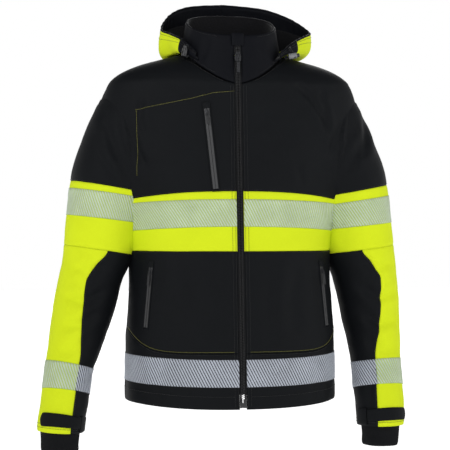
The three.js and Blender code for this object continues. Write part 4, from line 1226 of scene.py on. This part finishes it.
def pocket_zip(key, top, bottom, width, coat, pull, slider_body, pull_body):
    middle = (top + bottom) / 2
    along_zip = unit(top - bottom)
    out = np.array([middle[0] / 190**2, (middle[1] - AXIS_Y) / 110**2, 0])
    out = unit(out - along_zip * (out @ along_zip))
    axes = np.stack([-np.cross(out, along_zip), out, along_zip], -1)
    long = float(np.linalg.norm(top - bottom))
    half = width / 2
    node = f"{key}_zip"
    blocks(f"{node}_lips", axes, middle, [
        ((half - 0.35, 1.1, long), (-half / 2 - 0.12, 0.0, 0), 0.42),
        ((half - 0.35, 1.1, long), (half / 2 + 0.12, 0.0, 0), 0.42),
    ], coat, "jacket", [node])
    blocks(f"{node}_welt", axes, middle, [
        ((2.0, 3.4, long + 8), (-half - 1.1, -0.9, 0), 0.8),
        ((2.0, 3.4, long + 8), (half + 1.1, -0.9, 0), 0.8),
        ((width + 4.2, 2.6, 2.0), (0, -1.0, -long / 2 - 3.0), 0.7),
        ((width + 1.0, 1.6, long), (0, -1.5, 0), 0.3),
    ], black_cloth, "jacket")
    blocks(f"{node}_garage", axes, top, [
        ((width + 3.0, 1.2, 11.0), (0, 0.25, 5.2), 0.55),
        ((width + 4.4, 2.4, 2.0), (0, -0.4, 11.2), 0.9),
        ((1.4, 0.8, 11.0), (-half - 1.2, 0.9, 5.2), 0.35),
        ((1.4, 0.8, 11.0), (half + 1.2, 0.9, 5.2), 0.35),
    ], black_cloth, "jacket", [node])
    origin = top - 8 * along_zip
    level = 0.6 + 0.3 + 0.6
    blocks(f"{key}_slider_body", axes, origin, [
        ((7.3, 1.2, 7.5), (0, level, -1.6), 0.5),
        ((5.4, 1.2, 5.0), (0, level, 3.0), 0.5),
        ((2.2, 1.3, 1.4), (0, level + 1.1, 3.2), 0.4),
        ((2.2, 1.3, 1.4), (0, level + 1.1, -2.6), 0.4),
        ((2.2, 0.8, 7.2), (0, level + 1.9, 0.3), 0.35),
    ], gunmetal, slider_body, [f"{key}_slider"])
    level = 0.6 + 0.3 + 1.2 + 1.8 + 0.3 + 0.9
    blocks(f"{key}_pull", axes, origin, [
        ((1.0, 0.9, 6.0), (-1.5, level, -3.4), 0.4),
        ((1.0, 0.9, 6.0), (1.5, level, -3.4), 0.4),
        ((4.0, 0.9, 1.4), (0, level, -0.9), 0.4),
        ((4.6, 1.6, pull - 6.4), (0, level, -(pull + 5.6) / 2), 0.7),
        ((3.0, 2.0, pull - 11), (0, level, -(pull + 5.6) / 2), 0.6),
    ], pull_rubber, pull_body, [f"{key}_puller"])


ON_CLOTH = 0.3 + 0.6 + 1.2
pocket_zip("chest_pocket", on_front(-60, -120, ON_CLOTH), on_front(-45, -268, ON_CLOTH), 10, zip_grey, 22,
           "chest_slider", "chest_puller")
for name, side in (("right", -1), ("left", 1)):
    pocket_zip(f"hand_pocket_{name}", on_front(side * 160, -412, ON_CLOTH - 1),
               on_front(side * 170, -522, ON_CLOTH - 1), 8, zip_black, 26, f"hand_slider_{name}",
               f"hand_puller_{name}")

# ---------------------------------------------------------------------------------------------------------
# Hood: sewn along the collar's base and standing open behind it. Its front ends are dark and its middle
# fluorescent, with a dark lining and a bound, elasticated rim. Its pieces are left loose.
# ---------------------------------------------------------------------------------------------------------
def ringed(values):
    return through([[a, v] for a, v in zip([20, 45, 70, 90, 120, 150, 180], values)])


hood_lean = ringed([4, 9, 15, 20, 16, 8, 6])
RIM = [ringed(v) for v in ([80, 107, 130, 146, 126, 72, 0], [-118, -94, -52, -12, 36, 66, 76],
                           [-14, 10, 26, 38, 68, 93, 100])]
BAG = [ringed(v) for v in ([84, 116, 140, 160, 140, 84, 0], [-122, -98, -54, -18, 68, 128, 150],
                           [-28, -20, -26, -36, -60, -78, -86])]


def hood_at(angle, v):
    """A point of the hood. angle runs from the wearer's left front end to the right one, v to the rim."""
    angle, v = np.broadcast_arrays(np.asarray(angle, float), np.asarray(v, float))
    side = np.where(angle < math.pi, 1, -1)
    a = 180 - np.abs(180 - np.degrees(angle))
    seam = collar_at(angle, 0.12 + 0 * v)
    away = np.stack([seam[..., 0], (seam[..., 1] - AXIS_Y) * 1.1, 0 * v], -1)
    start = seam + away / np.linalg.norm(away, axis=-1, keepdims=True) * 1.5
    lean = hood_lean(a)
    bag = np.stack([side * BAG[0](a) + lean, BAG[1](a), BAG[2](a)], -1)
    rim = np.stack([side * RIM[0](a) + lean, RIM[1](a), RIM[2](a)], -1)
    w = v[..., None]
    return start * (1 - w) ** 2 + bag * 2 * w * (1 - w) + rim * w * w


def hood_cloth(angle, v, lift=0.0):
    p = hood_at(angle, v)
    n = np.cross(np.gradient(p, axis=1), np.gradient(p, axis=0))
    n /= np.maximum(np.linalg.norm(n, axis=-1, keepdims=True), 1e-9)
    a, w = np.broadcast_arrays(angle, v)
    ends = np.clip((a - math.radians(20)) * 3, 0, 1) * np.clip((math.radians(340) - a) * 3, 0, 1)
    soft = 2.2 * soft_noise(p, 120, 31) + 0.8 * soft_noise(p, 44, 33)
    pleats = 1.5 * np.sin(17 * a + 3 * np.sin(2 * a)) * np.exp(-((w / 0.22) ** 2))
    sag = 2.0 * np.sin(7 * a + 1.0) * np.sin(math.pi * w) ** 2
    slack = np.clip(w * 8, 0, 1) * ends
    edge = 0.5 * np.sin(46 * a) * np.clip((w - 0.86) * 8, 0, 1)
    return p + n * (lift + (soft + pleats + sag) * slack + edge)[..., None]


FRONT_SPLIT = {"left": math.radians(50), "right": math.radians(310)}


def hood_piece(name, first, last, low, high, columns, rows, material, stands_for, lift=0.0, thickness=2.0,
               lining=None, roll=0.5):
    angle = np.linspace(first, last, columns)[None, :]
    v = np.linspace(low, high, rows)[:, None]
    made = cloth_piece(name, hood_cloth(angle, v, lift), material, None, stands_for, thickness=thickness,
                       lining=lining, edge_roll=roll)
    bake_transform(made)
    return made


hood_ends = math.radians(20), math.radians(340)
hood_piece("hood_front_left", hood_ends[0], FRONT_SPLIT["left"], 0, 1, 26, 44, navy_cloth, ["hood_outer"])
hood_piece("hood_middle", FRONT_SPLIT["left"], FRONT_SPLIT["right"], 0, 1, 220, 44, yellow_cloth,
           ["hood_outer"])
hood_piece("hood_front_right", FRONT_SPLIT["right"], hood_ends[1], 0, 1, 26, 44, navy_cloth, ["hood_outer"])
hood_piece("hood_inside", *hood_ends, 0.125, 0.9, 260, 40, fleece, ["hood_lining"], lift=-2.6, thickness=1.2)
hood_piece("hood_rim_band", *hood_ends, 0.88, 1, 260, 8, navy_cloth, ["hood_rim"], lift=-2.2, thickness=1.6,
           roll=0.2)

binding_angle = np.linspace(*hood_ends, 260)[None, :]
binding_line = hood_cloth(binding_angle, np.array([[0.97], [0.985], [1.0]]))[2]
forward = np.gradient(binding_line, axis=0)
forward /= np.linalg.norm(forward, axis=-1, keepdims=True)
outside = hood_cloth(binding_angle, np.array([[0.97], [0.985], [1.0]]))
outside = outside[2] - outside[0]
outside /= np.linalg.norm(outside, axis=-1, keepdims=True)
sideways = np.cross(forward, outside)
ring = np.linspace(0, 2 * math.pi, 13)[:-1]
centre = binding_line - sideways * 1.9 + outside * 0.4
rope = np.stack([centre + outside * 2.3 * math.cos(t) + sideways * 2.5 * math.sin(t) for t in ring], 1)
binding = bmesh.new()
rows = [[binding.verts.new(Vector(p / 1000)) for p in loop] for loop in rope]
for low, high in zip(rows, rows[1:]):
    for i in range(12):
        binding.faces.new((low[i], high[i], high[(i + 1) % 12], low[(i + 1) % 12]))
binding.faces.new(rows[0])
binding.faces.new(list(reversed(rows[-1])))
bmesh.ops.recalc_face_normals(binding, faces=binding.faces)
rim_binding = from_bmesh("hood_rim_binding", binding, navy_cloth, None, ["hood_rim"])
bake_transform(rim_binding)

# ---------------------------------------------------------------------------------------------------------
# Cord locks: each a moulded barrel with a spring button, on the hood's elastic cord, which comes out of an
# eyelet in the hood's front end and goes back in below.
# ---------------------------------------------------------------------------------------------------------
lock_grey, _ = principled("lock_plastic_grey", (0.16, 0.165, 0.172), 0.4, specular=0.5)
lock_black, _ = principled("lock_plastic_black", (0.012, 0.0125, 0.014), 0.36, specular=0.5)
cord_black = woven("elastic_cord", (0.008, 0.008, 0.009), 0.85, shade=0.6, thread=2600.0, bump=1.0)


def tube_along(name, points, radius, material, body, stands_for=(), sides=10, caps=True):
    """A round cord along points in millimetres."""
    points = np.array(points, float)
    forward = np.gradient(points, axis=0)
    forward /= np.linalg.norm(forward, axis=-1, keepdims=True)
    first = np.cross(forward, [0.31, 0.25, 0.92])
    first /= np.linalg.norm(first, axis=-1, keepdims=True)
    second = np.cross(forward, first)
    mesh = bmesh.new()
    rows = []
    for p, a, b in zip(points, first, second):
        rows.append([
            mesh.verts.new(Vector((p + radius * (a * math.cos(t) + b * math.sin(t))) / 1000))
            for t in np.linspace(0, 2 * math.pi, sides + 1)[:-1]
        ])
    for low, high in zip(rows, rows[1:]):
        for i in range(sides):
            mesh.faces.new((low[i], low[(i + 1) % sides], high[(i + 1) % sides], high[i]))
    if caps:
        mesh.faces.new(list(reversed(rows[0])))
        mesh.faces.new(rows[-1])
    return from_bmesh(name, mesh, material, body, stands_for)


def hood_spot(angle, v, lift):
    a = angle + np.array([[-0.01, 0, 0.01]])
    w = v + np.array([[-0.01], [0], [0.01]])
    p = hood_at(a + 0 * w, w + 0 * a)
    n = np.cross(np.gradient(p, axis=1), np.gradient(p, axis=0))[1, 1]
    n /= np.linalg.norm(n)
    return p[1, 1] + n * lift, n


# Each profile is (height, radius) along the lock's axis. The barrel's ends at the bottom of its bore.
BARREL_PROFILE = [
    (-7.5, 4.2), (-7.3, 4.9), (-6.6, 5.4), (-5.2, 5.5), (-5.0, 5.1), (-4.4, 5.1), (-4.2, 5.5), (3.6, 5.5),
    (3.8, 5.1), (4.4, 5.1), (4.6, 5.5), (6.8, 5.4), (7.4, 5.0), (7.5, 4.5), (6.9, 4.2), (-2.6, 4.15),
]
BUTTON_PROFILE = [(4.0, 3.2), (4.2, 3.5), (10.4, 3.5), (11.6, 3.4), (12.6, 3.0), (13.2, 2.2), (13.4, 1.0)]
EYELET_PROFILE = [(-1.2, 2.0), (-0.4, 3.6), (0.1, 3.9), (0.6, 3.5), (0.7, 2.4), (0.2, 1.9)]
CORD_RADIUS = 1.3

for name, side in (("right", -1), ("left", 1)):
    lean = math.radians(80 if side > 0 else 8)
    angle = math.radians(36 if side > 0 else 324)
    spot, out = hood_spot(angle, 0.6, 5.8 + (3 if side > 0 else 0))
    turn_y = np.array([[math.cos(lean), 0, math.sin(lean)], [0, 1, 0], [-math.sin(lean), 0, math.cos(lean)]])
    plastic = lock_grey if side > 0 else lock_black
    barrel = bmesh.new()
    lathe(barrel, BARREL_PROFILE, 28, turn_y, spot)
    from_bmesh(f"cord_lock_barrel_{name}", barrel, plastic, "jacket", [f"cord_lock_{name}"])
    button = bmesh.new()
    lathe(button, BUTTON_PROFILE, 24, turn_y, spot)
    from_bmesh(f"cord_lock_button_{name}", button, lock_black, f"cord_button_{name}", [f"cord_button_{name}"])
    upper, _ = hood_spot(angle, 0.93, 1.6)
    lower, _ = hood_spot(angle, 0.30, 1.6)
    route = [
        upper, upper + out * 4 + 0.25 * (spot - upper), spot + out * 6.8 + 0.22 * (upper - spot),
        spot + out * 7.2, spot + out * 6.6 + 0.25 * (lower - spot), lower + out * 4 + 0.3 * (spot - lower),
        lower,
    ]
    steps = np.linspace(0, len(route) - 1, 61)
    route = np.array(route)
    smooth = np.stack([np.interp(steps, range(len(route)), route[:, i]) for i in range(3)], -1)
    for _ in range(60):
        smooth[1:-1] = 0.5 * smooth[1:-1] + 0.25 * (smooth[:-2] + smooth[2:])
    sideways = np.cross(out, [0, 0, 1])
    eyelet_axes = np.stack([unit(sideways), unit(np.cross(sideways, out)), out], -1)
    for key, place in (("upper", upper), ("lower", lower)):
        eyelet = bmesh.new()
        lathe(eyelet, EYELET_PROFILE, 24, eyelet_axes, place)
        from_bmesh(f"cord_eyelet_{key}_{name}", eyelet, gunmetal, "jacket")
    cord_end = tube_along(f"cord_end_{name}", smooth, CORD_RADIUS, cord_black, "jacket")

# ---------------------------------------------------------------------------------------------------------
# Stitching: olive thread in rows that are meant to show, black thread everywhere else.
# ---------------------------------------------------------------------------------------------------------
olive_thread, _ = principled("thread_olive", (0.19, 0.185, 0.035), 0.6, sheen=0.1, specular=0.2)
black_thread, _ = principled("thread_black", (0.010, 0.010, 0.011), 0.55, sheen=0.1, specular=0.3)


def line_on(surface, first, second, lift, upright):
    """Points along a line on a surface, lifted off it. upright says which way the line mostly runs."""
    offset = np.array([[-1.0], [0.0], [1.0]])
    a = first[None, :] + (0.01 * offset if upright else 0)
    b = second[None, :] + (0 if upright else 1.5 * offset)
    p, apart = surface(a, b)
    n = np.cross(np.gradient(p, axis=1), np.gradient(p, axis=0))
    n /= np.maximum(np.linalg.norm(n, axis=-1, keepdims=True), 1e-9)
    flip = np.sign((n[..., :2] * (p - p.mean(axis=(0, 1)) * [0.9, 0, 0] - [0, AXIS_Y, 0])[..., :2]).sum())
    return (p + n * lift * flip)[1], apart[1]


def sewn(name, lines, thread, body, pitch=3.1):
    return repeat_along(name, [line for line in lines if len(line) > 2], pitch, stitch, thread, body)


def on_trunk(x_or_angle, z, upright, lift=0.28, by_x=False, shown=1.5):
    x_or_angle, z = np.broadcast_arrays(np.asarray(x_or_angle, float), np.asarray(z, float))
    angle = angle_at_x(x_or_angle, z) if by_x else x_or_angle
    points, apart = line_on(trunk, angle, z, lift, upright)
    return points[apart > shown]


turn = np.linspace(0.055, math.pi / 2, 150)
black_rows, olive_rows = [], []
for side in (-1, 1):
    for x in (9.2, 15.0):
        z = np.linspace(-662, -78, 240)
        black_rows.append(on_trunk(side * x, z, True, by_x=True))
    for line, offset in [(hem_line, 23), (band_top, 2.4), (band_bottom, -2.4), (hem_seam, -2.2)]:
        black_rows.append(on_trunk(side * turn, line(turn) + offset, False))
    olive_rows.append(on_trunk(side * turn, hem_seam(turn) + 2.6, False))
    black_rows.append(on_trunk(side * turn[4:], neck_z(turn[4:]) - 3.5, False))
turn = np.linspace(math.pi / 2, 1.5 * math.pi, 260)
for line, offset in [(hem_line, 23), (band_top, 2.4), (band_bottom, -2.4)]:
    black_rows.append(on_trunk(turn, line(turn) + offset, False))
black_rows.append(on_trunk(turn, neck_z(turn) - 3.5, False))
yoke = [(-9, -87), (-47, -90.5), (-91, -102), (-145, -113), (-187, -122)]
yoke_x = np.linspace(-9, -187, 160)
yoke_z = np.interp(-yoke_x, [-x for x, _ in yoke], [z for _, z in yoke])
olive_rows.append(on_trunk(yoke_x, yoke_z, False, by_x=True))
down_x, down_z = np.linspace(-187, -184, 90), np.linspace(-122, -242, 90)
olive_rows.append(on_trunk(down_x, down_z, True, lift=0.5, by_x=True, shown=-2))
sewn("trunk_stitches_black", black_rows, black_thread, "jacket")
sewn("trunk_stitches_olive", olive_rows, olive_thread, "jacket", pitch=2.9)

for arm in ("right", "left"):
    def on_sleeve(turns, z, upright, lift=0.28, arm=arm):
        turns, z = np.broadcast_arrays(np.asarray(turns, float), np.asarray(z, float))
        offset = np.array([[-1.0], [0.0], [1.0]])
        a = turns[None, :] + (0.02 * offset if upright else 0)
        b = z[None, :] + (0 if upright else 1.5 * offset)
        p, apart = sleeve(arm, a, b)
        n = normals(p, arm_frame(arm, b)[0])
        return (p + n * lift)[1][apart[1] > 1.5]

    around = np.linspace(0, 2 * math.pi, 200)
    seam = SLEEVE_BAND_TOP[arm]
    sewn(f"sleeve_stitches_{arm}", [on_sleeve(around, seam + 2.4, False)], black_thread, "jacket")
    hem_rows = [on_sleeve(around, height, False) for height in (-702.0, -707.5)]
    sewn(f"cuff_stitches_{arm}", hem_rows, black_thread, f"forearm_{arm}")
    z = np.linspace(-711, -385, 150)
    seam_turns = np.radians(inner_edge(z) - 2.6), np.radians(INNER_BACK_EDGE + 2.6 + 0 * z)
    seam_rows = [on_sleeve(turns, z, True) for turns in seam_turns]
    seams = sewn(f"sleeve_seam_stitches_{arm}", seam_rows, black_thread, None)
    elbow_blend(seams)

angle = np.linspace(0.16, 2 * math.pi - 0.16, 300)[None, :]
rows = [collar_cloth(angle + 0 * v, v + 0 * angle, 0.3)[1] for v in (np.array([[0.92], [0.94], [0.96]]),
                                                                   np.array([[0.04], [0.06], [0.08]]))]
sewn("collar_stitches", rows, black_thread, "jacket")
angle = np.linspace(math.radians(21), math.radians(339), 420)[None, :]
rows = [hood_cloth(angle + 0 * v, v + 0 * angle, 0.3)[1] for v in (np.array([[0.86], [0.875], [0.89]]),
                                                                 np.array([[0.94], [0.955], [0.97]]))]
rim_stitches = sewn("hood_stitches", rows, black_thread, None)
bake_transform(rim_stitches)

bpy.data.objects.remove(stitch)
